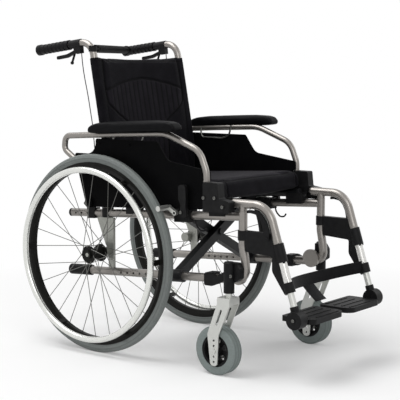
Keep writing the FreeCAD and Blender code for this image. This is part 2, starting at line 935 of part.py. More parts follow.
def axle_plate():
    x = -size("frame_offset")
    foot = lower_rail_z(0)
    tall = upper_rail_z(0) - size("rail_dia") / 2 - foot
    outline = from_shares(PLATE_SHARES, size("axle_plate_front"), foot, size("axle_plate_width"), tall)
    plate = side_plate("plate_blank", outline, None, "Sizes.axle_plate_thick",
                       x - size("axle_plate_thick") / 2)
    outer = -size("wheel_offset") + size("hub_inner_reach") + size("clearance")
    receiver = cylinder("axle_receiver", "Sizes.axle_collar_dia / 2", "Sizes.axle_collar_length",
                        place(outer, 0, AXLE_Z))
    inner = outer + size("axle_collar_length")
    bore = bar("receiver_bore", "Sizes.axle_dia / 2 + Sizes.bearing_gap",
               place(outer - size("overrun"), 0, AXLE_Z), place(inner + size("overrun"), 0, AXLE_Z))
    rails = [rail_cutter(upper_rail_z, size("clearance")), rail_cutter(lower_rail_z, size("clearance"))]
    body = cut("plate_body", fuse("plate_solid", [plate, receiver]), [bore] + rails)
    axle_start = -size("wheel_offset") - size("hub_outer_reach") - size("hub_cap_length")
    axle = bar("axle", "Sizes.axle_dia / 2", place(axle_start, 0, AXLE_Z), place(inner, 0, AXLE_Z))
    nut = cylinder("axle_nut", "Sizes.axle_nut_dia / 2", "Sizes.axle_nut_length", place(inner, 0, AXLE_Z))
    return compound("axle_plate", [body, fuse("axle_with_nut", [axle, nut])])


# A rail's own cylinder with a gap round it, to cut what sits on the rail
def rail_cutter(height_at, gap, x=None):
    if x is None:
        x = -size("frame_offset")
    rear = size("rail_rear_reach")
    front = -size("front_post_reach")
    piece = bar("rail_cutter", "Sizes.rail_dia / 2", place(x, rear, height_at(rear)),
                place(x, front, height_at(front)))
    piece.Radius = size("rail_dia") / 2 + gap
    return piece


def post_cutter(gap):
    wide = "Sizes.rail_dia + %g * 2" % gap
    return bent_tube("post_cutter", post_foot_points(), post_foot_radii(), wide, -size("frame_offset"))


# A block round a rail, bored for it
def rail_block(name, height_at, back, across, along, tall, lift=0):
    centre = place(-size("frame_offset"), back, height_at(back) + lift)
    return tilted_block(name, centre, across, along, tall)


def rail_ends():
    x = -size("frame_offset")
    rear = size("rail_rear_reach")
    end = place(x, rear, upper_rail_z(rear))
    plug = bar("rail_plug", "Sizes.rail_dia / 2", end, end - RAIL_DIRECTION * size("rail_plug_length"))
    low = place(x, rear, lower_rail_z(rear))
    tail = low - RAIL_DIRECTION * size("rail_plug_length")
    sleeve = bar("lower_sleeve", "Sizes.rail_dia / 2 + Sizes.lower_sleeve_wall",
                 tail + RAIL_DIRECTION * size("lower_sleeve_length"), tail)
    return [plug, cut("rail_sleeve", sleeve, [rail_cutter(lower_rail_z, size("clearance"))])]


def post_clamp():
    x = -size("frame_offset")
    back = size("post_foot_reach")
    foot = upper_rail_z(back) - size("rail_dia") / 2 + size("clearance")
    ring = cylinder("post_clamp_ring", "Sizes.post_dia / 2 + Sizes.post_clamp_wall",
                    "Sizes.post_clamp_length",
                    place(x, back, foot), Z_AXIS)
    bore = bar("post_clamp_bore", "Sizes.post_dia / 2 + Sizes.clearance",
               place(x, back, upper_rail_z(back)),
               place(x, back, foot + size("post_clamp_length") + size("overrun")))
    return cut("post_clamp", ring, [bore, rail_cutter(upper_rail_z, size("clearance"))])


# Caster housing on its arm, clamped to the lower rail and tied to the front post
def caster_mount():
    x = -size("caster_offset")
    stem = -caster_stem()
    housing = cylinder("caster_housing", "Sizes.housing_dia / 2", "Sizes.housing_top - Sizes.housing_foot",
                       place(x, stem, size("housing_foot")), Z_AXIS)
    cap = doc.addObject("Part::Cone", "housing_cap")
    cap.setExpression("Radius1", "Sizes.housing_dia / 2")
    cap.setExpression("Radius2", "Sizes.housing_dia / 2 - Sizes.housing_cap_step")
    cap.setExpression("Height", "Sizes.housing_cap_step")
    cap.Placement = FreeCAD.Placement(place(x, stem, size("housing_top")), FreeCAD.Rotation())
    clamp_back = stem + size("caster_arm_length") - size("rail_clamp_length") / 2
    rear = stem + size("caster_arm_length")
    low = lower_rail_z(rear) - size("rail_clamp_size") / 2
    lug_height = size("housing_top") - size("caster_lug_height") / 2
    arm_half = size("caster_arm_height") / 2
    middle = low + size("rail_clamp_size") / 2
    outline = [
        (rear, low),
        (rear, low + size("rail_clamp_size")),
        (rear - size("rail_clamp_length"), low + size("rail_clamp_size")),
        (rear - size("rail_clamp_length") * 1.5, middle + arm_half),
        (stem, lug_height + arm_half),
        (stem, lug_height - arm_half * 1.5),
        (rear - size("rail_clamp_length") * 1.5, middle - arm_half),
        (rear - size("rail_clamp_length"), low),
    ]
    corner = size("caster_arm_thick") / 2
    arm_x = -size("frame_offset") - size("rail_dia") / 2 - size("clearance") - size("caster_arm_thick")
    arm = side_plate("caster_arm", outline, [corner, corner, corner, corner, 0, 0, corner, corner],
                     "Sizes.caster_arm_thick", arm_x)
    clamp = rail_block("caster_clamp", lower_rail_z, clamp_back, size("rail_clamp_size"),
                       size("rail_clamp_length"), size("rail_clamp_size"))
    lug_rear = stem + size("housing_dia") / 4
    lug_front = -size("front_post_reach") - size("post_foot_toe")
    lug_high = size("housing_top")
    lug_low = lug_high - size("caster_lug_height")
    lug_outline = [
        (lug_rear, lug_high),
        (lug_front + size("housing_dia") / 3, lug_high),
        (lug_front, lug_high - size("housing_dia") / 2),
        (lug_front, lug_low + size("housing_dia") / 3),
        (lug_front + size("housing_dia") / 2, lug_low),
        (lug_rear, lug_low),
    ]
    lug = side_plate("caster_lug", lug_outline, [0, corner, corner, corner, corner, 0],
                     "Sizes.caster_arm_thick * 2", arm_x
                     - size("caster_arm_thick"))
    bore = bar("stem_bore", "Sizes.stem_dia / 2 + Sizes.bearing_gap",
               place(x, stem, size("housing_foot") - size("overrun")),
               place(x, stem, size("stem_top") + size("clearance")))
    post_hole = post_cutter(size("clearance"))
    solid = fuse("caster_mount_solid", [housing, cap, arm, clamp, lug])
    return cut("caster_mount", solid, [bore, rail_cutter(lower_rail_z, size("clearance")), post_hole])


# Socket for the armrest's front leg, with the front saddle under the seat tube
def armrest_socket():
    front = -size("socket_front_reach")
    rear = front + size("socket_width")
    outer = -size("arm_offset") - size("arm_tube_dia") / 2 - size("clearance") - size("socket_wall")
    inner = -size("frame_offset") - size("rail_dia") / 2 - 2 * size("clearance")
    low = upper_rail_z(front) + size("rail_dia") / 2 + size("clearance")
    top = low + size("socket_height")
    toe = front - size("socket_toe_reach")
    toe_top = low + size("socket_toe_height")
    outline = [
        (rear, low),
        (rear, top),
        (front + size("socket_wall"), top),
        (front, toe_top + size("socket_wall")),
        (toe, toe_top),
        (toe, low),
    ]
    corner = size("socket_wall")
    radii = [corner, corner, corner, corner, corner, corner]
    shell = side_plate("socket_shell", outline, radii, inner - outer, outer)
    slot_x = -size("arm_offset") - size("arm_tube_dia") / 2 - size("clearance")
    slot_wide = size("arm_tube_dia") + 2 * size("clearance")
    slot_front = -size("arm_front_reach") - size("arm_tube_dia") / 2 - size("clearance")
    slot = block("socket_slot", place(slot_x, slot_front, size("arm_front_foot") - size("clearance") * 3),
                 place(slot_x + slot_wide, rear + size("overrun"), top + size("overrun")))
    return cut("armrest_socket", shell, [slot])


def seat_tube_cutter(gap):
    x = -size("seat_tube_offset")
    front = -size("seat_tube_front") - size("overrun") * 3
    rear = -size("seat_tube_rear") + size("overrun")
    piece = bar("seat_tube_cutter", "Sizes.seat_tube_dia / 2", place(x, rear, seat_tube_z(rear)),
                place(x, front, seat_tube_z(front)))
    piece.Radius = size("seat_tube_dia") / 2 + gap
    return piece


# An open saddle on the upper rail that holds the seat tube from below
def saddle(name, back, along):
    inner = -size("seat_tube_offset") + size("seat_tube_dia") / 2 + size("saddle_wall")
    outer = -size("frame_offset") - size("rail_dia") / 2 - 2 * size("clearance")
    centre = place((inner + outer) / 2, back, upper_rail_z(back) + size("seat_tube_lift") / 2)
    body = tilted_block(name, centre, inner - outer, along, size("seat_tube_lift"))
    return cut(name + "_open", body, [rail_cutter(upper_rail_z, size("clearance")),
                                      seat_tube_cutter(size("clearance"))])


def armrest_bracket():
    back = size("arm_pivot_reach")
    wide = size("arm_pivot_dia")
    clamp = rail_block("arm_clamp", upper_rail_z, back, size("rail_dia") + 2 * size("clearance"), wide,
                       size("rail_dia") + size("saddle_wall"))
    inner = -size("frame_offset") - size("rail_dia") / 2 - 2 * size("clearance")
    lug_wide = size("saddle_wall")
    lug_low = place(inner, back - wide / 2, upper_rail_z(back))
    lug_high = place(inner + lug_wide, back + wide / 2, size("arm_pivot_height"))
    lug = block("arm_lug", lug_low, lug_high)
    eye = cylinder("arm_lug_eye", "Sizes.arm_pivot_dia / 2", "Sizes.saddle_wall",
                   place(inner, back, size("arm_pivot_height")))
    outer = -size("arm_offset") - size("arm_tube_dia") / 2
    pin = bar("arm_pin", "Sizes.arm_pin_dia / 2", place(outer, back, size("arm_pivot_height")),
              place(inner + lug_wide, back, size("arm_pivot_height")))
    solid = fuse("arm_bracket_solid", [clamp, lug, eye])
    return fuse("armrest_bracket", [cut("arm_bracket_body", solid,
                                        [rail_cutter(upper_rail_z, size("clearance"))]), pin])


def lock_base():
    back = -size("lock_reach")
    centre_z = upper_rail_z(back)
    clamp = rail_block("lock_clamp", upper_rail_z, back, size("lock_clamp_size"), size("lock_clamp_length"),
                       size("lock_clamp_size") * 0.9, -size("lock_clamp_size") * 0.05)
    outer = -size("frame_offset") - size("lock_clamp_size") / 2
    bored = cut("lock_clamp_bored", clamp, [rail_cutter(upper_rail_z, size("clearance"))])
    pins = []
    for reach in (size("lock_lever_pivot"), size("lock_shoe_pivot")):
        height = centre_z + size("lock_pivot_lift")
        pins.append(bar("lock_pin", "Sizes.lock_pin_dia / 2",
                        place(-size("lock_lever_offset") - size("lock_lever_thick") / 2, -reach, height),
                        place(outer + size("overrun"), -reach, height)))
    return fuse("lock_base", [bored] + pins)


# Bracket of the stabiliser bar on the right post, with its upright hinge pin
def bar_bracket():
    swing = math.radians(size("bar_swing_angle"))
    hinge_x, hinge_back = bar_hinge()
    post_back = hinge_back - size("bar_stand_off") * math.sin(swing)
    ring = cylinder("bar_ring", "Sizes.post_dia / 2 + Sizes.bar_ring_wall", "Sizes.bar_lug_thick * 3",
                    place(-size("frame_offset"), post_back, bar_level() - size("bar_lug_thick") * 1.5),
                    Z_AXIS)
    lug = doc.addObject("Part::Box", "bar_lug")
    lug.setExpression("Length", "Sizes.bar_stand_off")
    lug.setExpression("Width", "Sizes.bar_lug_dia * 0.6")
    lug.setExpression("Height", "Sizes.bar_lug_thick")
    turn = FreeCAD.Rotation(Z_AXIS, size("bar_swing_angle"))
    corner = turn.multVec(FreeCAD.Vector(0, -size("bar_lug_dia") * 0.3, -size("bar_lug_thick") / 2))
    lug.Placement = FreeCAD.Placement(place(-size("frame_offset"), post_back, bar_level()) + corner, turn)
    hinge = place(hinge_x, hinge_back, bar_level())
    eye = cylinder("bar_eye", "Sizes.bar_lug_dia / 2", "Sizes.bar_lug_thick",
                   hinge - Z_AXIS * (size("bar_lug_thick") / 2), Z_AXIS)
    pin = cylinder("bar_pin", "Sizes.bar_pin_dia / 2", "Sizes.bar_dia * 0.9",
                   hinge - Z_AXIS * (size("bar_dia") * 0.45), Z_AXIS)
    solid = fuse("bar_bracket_solid", [ring, lug, eye])
    cutter = bent_tube("bar_bracket_bore", post_points(), post_radii(),
                       "Sizes.post_dia + 2 * Sizes.clearance",
                       -size("frame_offset"))
    return fuse("bar_bracket", [cut("bar_bracket_body", solid, [cutter]), pin])


def bar_hinge():
    swing = math.radians(size("bar_swing_angle"))
    recline = math.tan(math.radians(size("post_recline_angle")))
    post_back = size("post_foot_reach") + (bar_level() - size("post_bend_height")) * recline
    return (-size("frame_offset") + size("bar_stand_off") * math.cos(swing),
            post_back + size("bar_stand_off") * math.sin(swing))


def frame_fittings():
    pieces = rail_ends()
    pieces.append(post_clamp())
    pieces.append(caster_mount())
    pieces.append(armrest_socket())
    front_saddle_back = -size("socket_front_reach") + size("socket_width") / 2
    pieces.append(saddle("front_saddle", front_saddle_back, size("socket_width")))
    pieces.append(saddle("rear_saddle", -size("rear_saddle_reach"), size("saddle_length")))
    pieces.append(armrest_bracket())
    pieces.append(lock_base())
    return pieces


# Armrest
ARM_SHARES = [(0.136, 0.49), (0, 0.7), (0.01, 0.88), (0.43, 0.94), (0.735, 0.975), (0.955, 0.775),
              (0.998, 0.52)]


def arm_points():
    rear = size("arm_rear_reach")
    length = rear + size("arm_front_reach")
    foot = size("arm_pivot_height")
    tall = size("arm_top_height") - foot
    points = []
    for one, two in ARM_SHARES:
        points.append((rear - length * one, foot + tall * two))
    points.append((-size("arm_front_reach"), size("arm_front_foot")))
    return points


def arm_radii():
    loop = size("arm_bend_radius")
    sweep = size("arm_front_radius")
    return [0, loop, loop, sweep * 5, sweep * 2, sweep, sweep, 0]


def armrest_tube():
    x = -size("arm_offset")
    return bent_tube("armrest_tube", arm_points(), arm_radii(), "Sizes.arm_tube_dia", x)


def arm_pin_hole():
    outer = -size("arm_offset") - size("arm_tube_dia")
    return bar("arm_pin_hole", "Sizes.arm_pin_dia / 2 + Sizes.bearing_gap",
               place(outer, size("arm_pivot_reach"), size("arm_pivot_height")),
               place(-size("frame_offset"), size("arm_pivot_reach"), size("arm_pivot_height")))


def armrest_pad():
    rear = size("pad_rear_reach")
    front = rear - size("pad_length")
    low = size("pad_foot_height")
    rise = size("pad_length") * math.tan(math.radians(size("pad_slope")))
    outline = [(rear, low), (rear, low + size("pad_thick")), (front, low + rise + size("pad_thick")),
               (front, low + rise)]
    radius = size("pad_edge_radius")
    body = side_plate("pad_body", outline, [radius, radius * 2, radius * 2, radius], "Sizes.pad_width",
                      -size("pad_offset") - size("pad_width") / 2)
    doc.recompute()
    rounded = doc.addObject("Part::Fillet", "pad_edges")
    rounded.Base = body
    edge_radius = size("pad_edge_radius") * 0.8
    rounded.Edges = [(index, edge_radius, edge_radius) for index,
                     edge in enumerate(body.Shape.Edges, start=1)
                     if abs(edge.tangentAt(edge.FirstParameter).x) < 0.5]
    channel = bent_tube("pad_channel", arm_points(), arm_radii(),
                        "Sizes.arm_tube_dia + 2 * Sizes.clearance",
                        -size("arm_offset"))
    return cut("armrest_pad", rounded, [channel])


# Side panel with its quarter round cut-out at the rear and its hollow front corner
def side_panel():
    inner = -size("frame_offset") - size("rail_dia") / 2 - size("panel_gap")
    x = inner - size("panel_thick")
    pivot = (size("arm_pivot_reach"), size("arm_pivot_height"))
    front = -size("panel_front_reach")
    socket_rear = -size("socket_front_reach") + size("socket_width") + size("panel_gap")
    foot_rear = upper_rail_z(pivot[0]) + size("panel_foot_gap")
    foot_front = upper_rail_z(socket_rear) + size("panel_foot_gap")
    top = size("panel_top_height")
    half = size("arm_pivot_dia") / 2
    tall = top - foot_rear
    cut_corner = (size("panel_cut_reach"), top)
    outline = [
        (pivot[0] + half, foot_rear),
        (size("panel_heel_reach") - half, foot_rear + tall * 0.52),
        (size("panel_heel_reach"), top - size("panel_cut_size")),
        (cut_corner[0], top - size("panel_cut_size")),
        cut_corner,
        (size("panel_nose_reach"), top),
        (size("panel_nose_reach") - half * 2.6, top - size("panel_cut_size") * 1.15),
        (front, top - size("panel_cut_size") * 1.6),
        (front, size("socket_clear_height")),
        (socket_rear, size("socket_clear_height")),
        (socket_rear, foot_front),
    ]
    curve = size("panel_cut_size") * 0.75
    small = half / 2
    radii = [half * 0.9, curve, small, curve, small, small, curve, small, small / 2, small / 3, small]
    plate = side_plate("panel_sheet", outline, radii, "Sizes.panel_thick", x)
    eye = cylinder("panel_eye", "Sizes.arm_pivot_dia / 2", "Sizes.arm_eye_width",
                   place(inner - size("arm_eye_width"), *pivot))
    hole = arm_pin_hole()
    screws = []
    for back, height in [(size("panel_cut_reach") - half, top - half),
                         (size("panel_nose_reach") / 2, top - half)]:
        screws.append(bar("panel_screw", "Sizes.panel_screw_dia / 2", place(x, back, height),
                          place(x - size("panel_screw_head"), back, height)))
    return compound("side_panel", [cut("panel_drilled", fuse("panel_plate", [plate, eye]),
                                       [hole])] + screws)


# Wheel lock
def lock_pivot(reach):
    return (-reach, upper_rail_z(-size("lock_reach")) + size("lock_pivot_lift"))


def lock_hole(reach):
    x = -size("lock_lever_offset")
    back, height = lock_pivot(reach)
    return bar("lock_hole", "Sizes.lock_pin_dia / 2 + Sizes.bearing_gap",
               place(x - size("lock_lever_thick"), back, height),
               place(x + size("lock_lever_thick"), back, height))


LOCK_SHARES = [(-0.5, -0.12), (0.5, -0.12), (0.32, 0.3), (0.62, 0.5), (0.62, 1), (-0.3, 1), (-0.38, 0.5),
               (-0.32, 0.3)]


def lock_lever():
    x = -size("lock_lever_offset") - size("lock_lever_thick") / 2
    back, height = lock_pivot(size("lock_lever_pivot"))
    outline = from_shares(LOCK_SHARES, back, height, size("lock_lever_width"), size("lock_lever_height"))
    soft = size("lock_lever_width") / 3
    radii = [soft, soft, soft, soft, soft, soft, soft, soft]
    blade = side_plate("lock_blade", outline, radii, "Sizes.lock_lever_thick", x)
    return cut("lock_lever", blade, [lock_hole(size("lock_lever_pivot"))])


def shoe_place():
    distance = AXLE_Z + size("lock_shoe_gap") + size("lock_shoe_dia") / 2
    rise = size("lock_shoe_rise")
    return (-math.sqrt(distance ** 2 - rise ** 2), AXLE_Z + rise)


def lock_shoe():
    x = -size("lock_lever_offset")
    back, height = lock_pivot(size("lock_shoe_pivot"))
    tip_back, tip_height = shoe_place()
    half = size("lock_lever_thick") / 2
    start = place(x - half, back, height)
    eye = cylinder("shoe_eye", "Sizes.lock_arm_width / 2", "Sizes.lock_lever_thick", start)
    end = cylinder("shoe_end", "Sizes.lock_arm_width / 2", "Sizes.lock_lever_thick",
                   place(x - half, tip_back, tip_height))
    run = place(0, tip_back, tip_height) - place(0, back, height)
    arm = doc.addObject("Part::Box", "shoe_arm")
    arm.setExpression("Length", "Sizes.lock_lever_thick")
    arm.Width = run.Length
    arm.setExpression("Height", "Sizes.lock_arm_width * 0.8")
    turn = FreeCAD.Rotation(Y_AXIS, run)
    corner = turn.multVec(FreeCAD.Vector(0, 0, -size("lock_arm_width") * 0.4))
    arm.Placement = FreeCAD.Placement(start + corner, turn)
    body = cut("shoe_arm_drilled", fuse("shoe_arm_solid", [eye, end, arm]),
               [lock_hole(size("lock_shoe_pivot"))])
    roller = bar("shoe_roller", "Sizes.lock_shoe_dia / 2", place(x - half, tip_back, tip_height),
                 place(x - half - size("lock_shoe_length"), tip_back, tip_height))
    return compound("lock_shoe", [body, roller])


# Caster
def caster_centre():
    return place(-size("caster_offset"), size("caster_trail") - caster_stem(), size("caster_dia") / 2)


def caster_fork():
    x = -size("caster_offset")
    stem = -caster_stem()
    wheel = stem + size("caster_trail")
    half = size("fork_width") / 2
    top = size("fork_top")
    crown_low = top - size("fork_crown_thick")
    foot = size("caster_dia") / 2 - size("fork_hole_pitch") * 2 - half
    front = stem - size("fork_top_lead")
    rear = stem + size("fork_top_trail")
    bend = size("fork_bend_width") / 2
    bend_middle = wheel + size("fork_bend_shift")
    outline = [
        (front, top),
        (front, crown_low),
        (bend_middle - bend, size("fork_bend_height")),
        (wheel - half, foot),
        (wheel + half, foot),
        (bend_middle + bend, size("fork_bend_height")),
        (rear, crown_low),
        (rear, top),
    ]
    soft = size("fork_crown_thick") / 3
    radii = [soft, soft, half * 2, half * 0.9, half * 0.9, half * 2, soft, soft]
    slot_top = ((front + rear) / 2 + bend / 3, crown_low - size("fork_width") * 0.6)
    slot_run = (bend_middle - slot_top[0], size("fork_bend_height") - slot_top[1])
    slot_share = size("fork_slot_length") / math.hypot(*slot_run)
    slot_foot = (slot_top[0] + slot_run[0] * slot_share, slot_top[1] + slot_run[1] * slot_share)
    side = (-slot_run[1] / math.hypot(*slot_run) * size("fork_slot_width") / 2,
            slot_run[0] / math.hypot(*slot_run) * size("fork_slot_width") / 2)
    slot_outline = [
        (slot_top[0] + side[0], slot_top[1] + side[1]),
        (slot_foot[0] + side[0], slot_foot[1] + side[1]),
        (slot_foot[0] - side[0], slot_foot[1] - side[1]),
        (slot_top[0] - side[0], slot_top[1] - side[1]),
    ]
    inner = size("fork_gap") / 2
    blades = []
    holes = []
    for index in range(FORK_HOLE_COUNT):
        if index * 2 != FORK_HOLE_COUNT - 1:
            height = size("caster_dia") / 2 + size("fork_hole_pitch") * (index - (FORK_HOLE_COUNT - 1) / 2)
            holes.append((wheel, height, size("fork_hole_dia") / 2))
    for side in (-1, 1):
        start = x + side * inner - (size("fork_blade_thick") if side < 0 else 0)
        blade = side_plate("fork_blade", outline, radii, "Sizes.fork_blade_thick", start, holes)
        slot_soft = size("fork_slot_width") * 0.45
        slot = side_plate("fork_slot", slot_outline, [slot_soft, slot_soft, slot_soft, slot_soft],
                          "Sizes.fork_blade_thick + 2 * Sizes.overrun", start - size("overrun"))
        blades.append(cut("fork_blade_slotted", blade, [slot]))
    crown = block("fork_crown", place(x - inner - size("overrun") / 3, front, crown_low),
                  place(x + inner + size("overrun") / 3, rear, top))
    stem_rod = bar("caster_stem", "Sizes.stem_dia / 2", place(x, stem, crown_low),
                   place(x, stem, size("stem_top")))
    nut = bar("caster_nut", "Sizes.stem_nut_dia / 2", place(x, stem, top),
              place(x, stem, size("housing_foot") - size("clearance")))
    centre = caster_centre()
    reach = inner + size("fork_blade_thick") + size("caster_bolt_head")
    bolt = bar("caster_bolt", "Sizes.caster_bolt_dia / 2", centre - X_AXIS * reach, centre + X_AXIS * reach)
    heads = [bar("caster_bolt_end", "Sizes.caster_bolt_head_dia / 2", centre + X_AXIS * (side * reach),
                 centre + X_AXIS * (side * (reach - size("caster_bolt_head")))) for side in (-1, 1)]
    return fuse("caster_fork", blades + [crown, stem_rod, nut, bolt] + heads)


def caster_tyre():
    wide = size("caster_width") / 2
    outer = size("caster_dia") / 2
    bead = size("caster_rim_dia") / 2
    groove = size("caster_groove")
    pitch = size("caster_width") / (CASTER_GROOVE_COUNT + 1)
    profile = [(-wide, bead), (-wide, outer - groove * 3), (-wide + groove, outer - groove)]
    for index in range(CASTER_GROOVE_COUNT):
        middle = -wide + pitch * (index + 1)
        profile.append((middle - groove, outer))
        profile.append((middle, outer - groove))
        profile.append((middle + groove, outer))
    profile += [(wide - groove, outer - groove), (wide, outer - groove * 3), (wide, bead)]
    return turned("caster_tyre", profile, caster_centre())


def caster_hub():
    wide = size("caster_width") / 2 - size("caster_groove")
    rim = size("caster_rim_dia") / 2 - size("clearance") / 2
    wall = rim - size("caster_rim_wall")
    web = size("caster_web_thick") / 2
    boss = size("caster_boss_dia") / 2
    bore = size("caster_bolt_dia") / 2 + size("bearing_gap")
    long = size("fork_gap") / 2 - size("clearance")
    profile = [
        (-wide, rim), (wide, rim), (wide, wall), (web, wall - web), (web, boss + web), (long, boss),
        (long, bore), (-long, bore), (-long, boss), (-web, boss + web), (-web, wall - web), (-wide, wall),
    ]
    centre = caster_centre()
    disc = turned("caster_disc", profile, centre)
    windows = []
    ring = (wall + boss) / 2
    for index in range(WINDOW_COUNT):
        angle = 2 * math.pi * index / WINDOW_COUNT
        middle = centre + FreeCAD.Vector(0, ring * math.sin(angle), ring * math.cos(angle))
        windows.append(bar("caster_window", "Sizes.caster_window_dia / 2", middle - X_AXIS * wide,
                           middle + X_AXIS * wide))
    return cut("caster_hub", disc, windows)


# Hanger, leg and footplate
def leg_direction():
    angle = math.radians(size("hanger_angle"))
    return FreeCAD.Vector(0, -math.cos(angle), -math.sin(angle))


def leg_place(height):
    drop = (size("hanger_height") - height) / math.tan(math.radians(size("hanger_angle")))
    return place(-size("frame_offset"), -hanger_corner() - drop, height)


def leg_bar(name, radius, top, foot, gap=0):
    piece = bar(name, radius, leg_place(top), leg_place(foot))
    if gap:
        piece.Radius = piece.Radius.Value + gap
    return piece


def hanger_tube():
    x = -size("frame_offset")
    foot = leg_place(size("hanger_tube_foot"))
    points = [
        (-hanger_rear(), size("hanger_height")),
        (-hanger_corner(), size("hanger_height")),
        (foot.y - AXLE_Y, foot.z),
    ]
    tube = bent_tube("hanger_pipe", points, [0, size("hanger_bend_radius"), 0], "Sizes.rail_dia", x)
    post = -size("front_post_reach")
    top = front_post_high() + size("clearance")
    collar = bar("hanger_collar", "Sizes.rail_dia / 2 - Sizes.clearance", place(x, post, top),
                 place(x, post, size("hanger_height")))
    pin = bar("hanger_pin", "Sizes.hanger_pin_dia / 2",
              place(x, post, front_post_high() - size("hanger_pin_length") + size("clearance")),
              place(x, post, size("hanger_height")))
    plug = doc.addObject("Part::Sphere", "hanger_plug")
    plug.setExpression("Radius", "Sizes.rail_dia / 2 - Sizes.clearance")
    plug.Placement = FreeCAD.Placement(place(x, -hanger_rear(), size("hanger_height")), FreeCAD.Rotation())
    return fuse("hanger_tube", [tube, collar, pin, plug])


def hanger_lower_tube():
    outer = leg_bar("lower_pipe", "Sizes.lower_tube_dia / 2", size("hanger_tube_foot"),
                    size("lower_tube_foot"))
    inner = leg_bar("lower_bore", "Sizes.leg_tube_dia / 2 + Sizes.clearance",
                    size("hanger_tube_foot") - size("collar_wall"),
                    size("lower_tube_foot") - size("overrun"))
    return cut("hanger_lower_tube", outer, [inner])


# The black casting: a ring on the front post, its arm, the sleeve and the clip at the tube's foot
def hanger_bracket():
    x = -size("frame_offset")
    post = -size("front_post_reach")
    ring_outer = size("rail_dia") / 2 + size("bracket_ring_wall")
    ring = cylinder("bracket_ring", "Sizes.rail_dia / 2 + Sizes.bracket_ring_wall", "Sizes.collar_height",
                    place(x, post, size("collar_top") - size("collar_height")), Z_AXIS)
    sleeve_high = leg_place(size("sleeve_top")).y - AXLE_Y
    sleeve_low = leg_place(size("sleeve_foot")).y - AXLE_Y
    half = size("lower_tube_dia") / 2
    shell_rear = sleeve_low + half + size("shell_depth") / 2
    outline = [
        (post, size("collar_top")),
        (sleeve_high + half, size("collar_top")),
        (sleeve_high - half, size("sleeve_top")),
        (sleeve_low - half, size("sleeve_foot")),
        (sleeve_low + half, size("sleeve_foot")),
        (shell_rear, size("sleeve_foot")),
        (shell_rear, size("collar_foot")),
        (post - ring_outer, size("collar_foot") + size("collar_wall")),
        (post - ring_outer, size("collar_top") - size("collar_height")),
        (post, size("collar_top") - size("collar_height")),
    ]
    soft = size("collar_wall")
    arm = side_plate("bracket_arm", outline, [0, soft, 0, 0, 0, 0, soft, soft, 0, 0], "Sizes.bracket_thick",
                     x - size("bracket_thick") / 2)
    sleeve = leg_bar("bracket_sleeve", "Sizes.rail_dia / 2 + Sizes.sleeve_wall", size("sleeve_top"),
                     size("sleeve_foot"))
    eye = size("release_eye_dia") / 2
    pivot = place(x, -release_pivot(), size("release_pivot_height"))
    outer = pivot - X_AXIS * (release_face() - size("clearance"))
    boss = bar("release_boss", "Sizes.release_eye_dia / 2", pivot, outer)
    pin = bar("release_pin", "Sizes.release_pin_dia / 2", pivot,
              outer - X_AXIS * (2 * size("clearance") + size("release_thick") + size("release_pin_end")))
    post_hole = post_cutter(size("clearance"))
    tube_hole = bent_tube("bracket_tube_hole", [
        (-hanger_rear(), size("hanger_height")),
        (-hanger_corner(), size("hanger_height")),
        (leg_place(size("hanger_tube_foot")).y - AXLE_Y, size("hanger_tube_foot")),
    ], [0, size("hanger_bend_radius"), 0], "Sizes.rail_dia + Sizes.clearance", x)
    lower_hole = leg_bar("bracket_lower_hole", "Sizes.lower_tube_dia / 2", size("sleeve_top"),
                         size("lower_tube_foot"),
                         size("clearance") / 2)
    solid = fuse("bracket_solid", [ring, arm, sleeve, boss])
    body = fuse("bracket_body", [cut("bracket_bored", solid, [post_hole, tube_hole, lower_hole]), pin])
    clip = leg_bar("leg_clip", "Sizes.lower_tube_dia / 2 + Sizes.sleeve_wall", size("clip_top"),
                   size("lower_tube_foot"))
    foot = leg_place(size("lower_tube_foot")).y - AXLE_Y
    toe = size("lower_tube_foot") - size("collar_wall")
    shell_outline = [
        (sleeve_low + half * 0.5, size("sleeve_foot") + soft),
        (shell_rear, size("sleeve_foot") + soft),
        (shell_rear, (size("sleeve_foot") + size("clip_top")) / 2),
        (foot + half + size("shell_depth") * 0.6, size("clip_top") - soft),
        (foot + half, toe),
        (foot, toe),
        (foot, size("clip_top")),
    ]
    shell = side_plate("bracket_shell", shell_outline, [0, 0, soft * 4, soft * 3, soft, 0, 0],
                       "Sizes.bracket_thick", x - size("bracket_thick") / 2)
    lower_solid = fuse("bracket_lower_solid", [body, clip, shell])
    leg_hole = leg_bar("bracket_leg_hole", "Sizes.lower_tube_dia / 2", size("sleeve_top"),
                       size("lower_tube_foot"),
                       size("clearance") / 2)
    foot_hole = leg_bar("bracket_foot_hole", "Sizes.lower_tube_dia / 2",
                        size("lower_tube_foot") + size("overrun"),
                        size("lower_tube_foot") - size("overrun") * 4, size("clearance") / 2)
    return cut("hanger_bracket", lower_solid, [leg_hole, foot_hole])


# How far the release lever's inner face stands from the hanger's plane
def release_face():
    return size("rail_dia") / 2 + size("clearance") * 2


# A flat band that arches from the post to the bracket and widens towards its pivot
RELEASE_SHARES = [(1, 0.97), (0.81, 1), (0.46, 0.98), (0.24, 0.86), (0.02, 0.6), (-0.13, 0.26),
                  (-0.12, -0.08),
                  (0.13, -0.08), (0.15, 0.17), (0.21, 0.43), (0.34, 0.68), (0.52, 0.84), (0.81, 0.88),
                  (1, 0.86)]


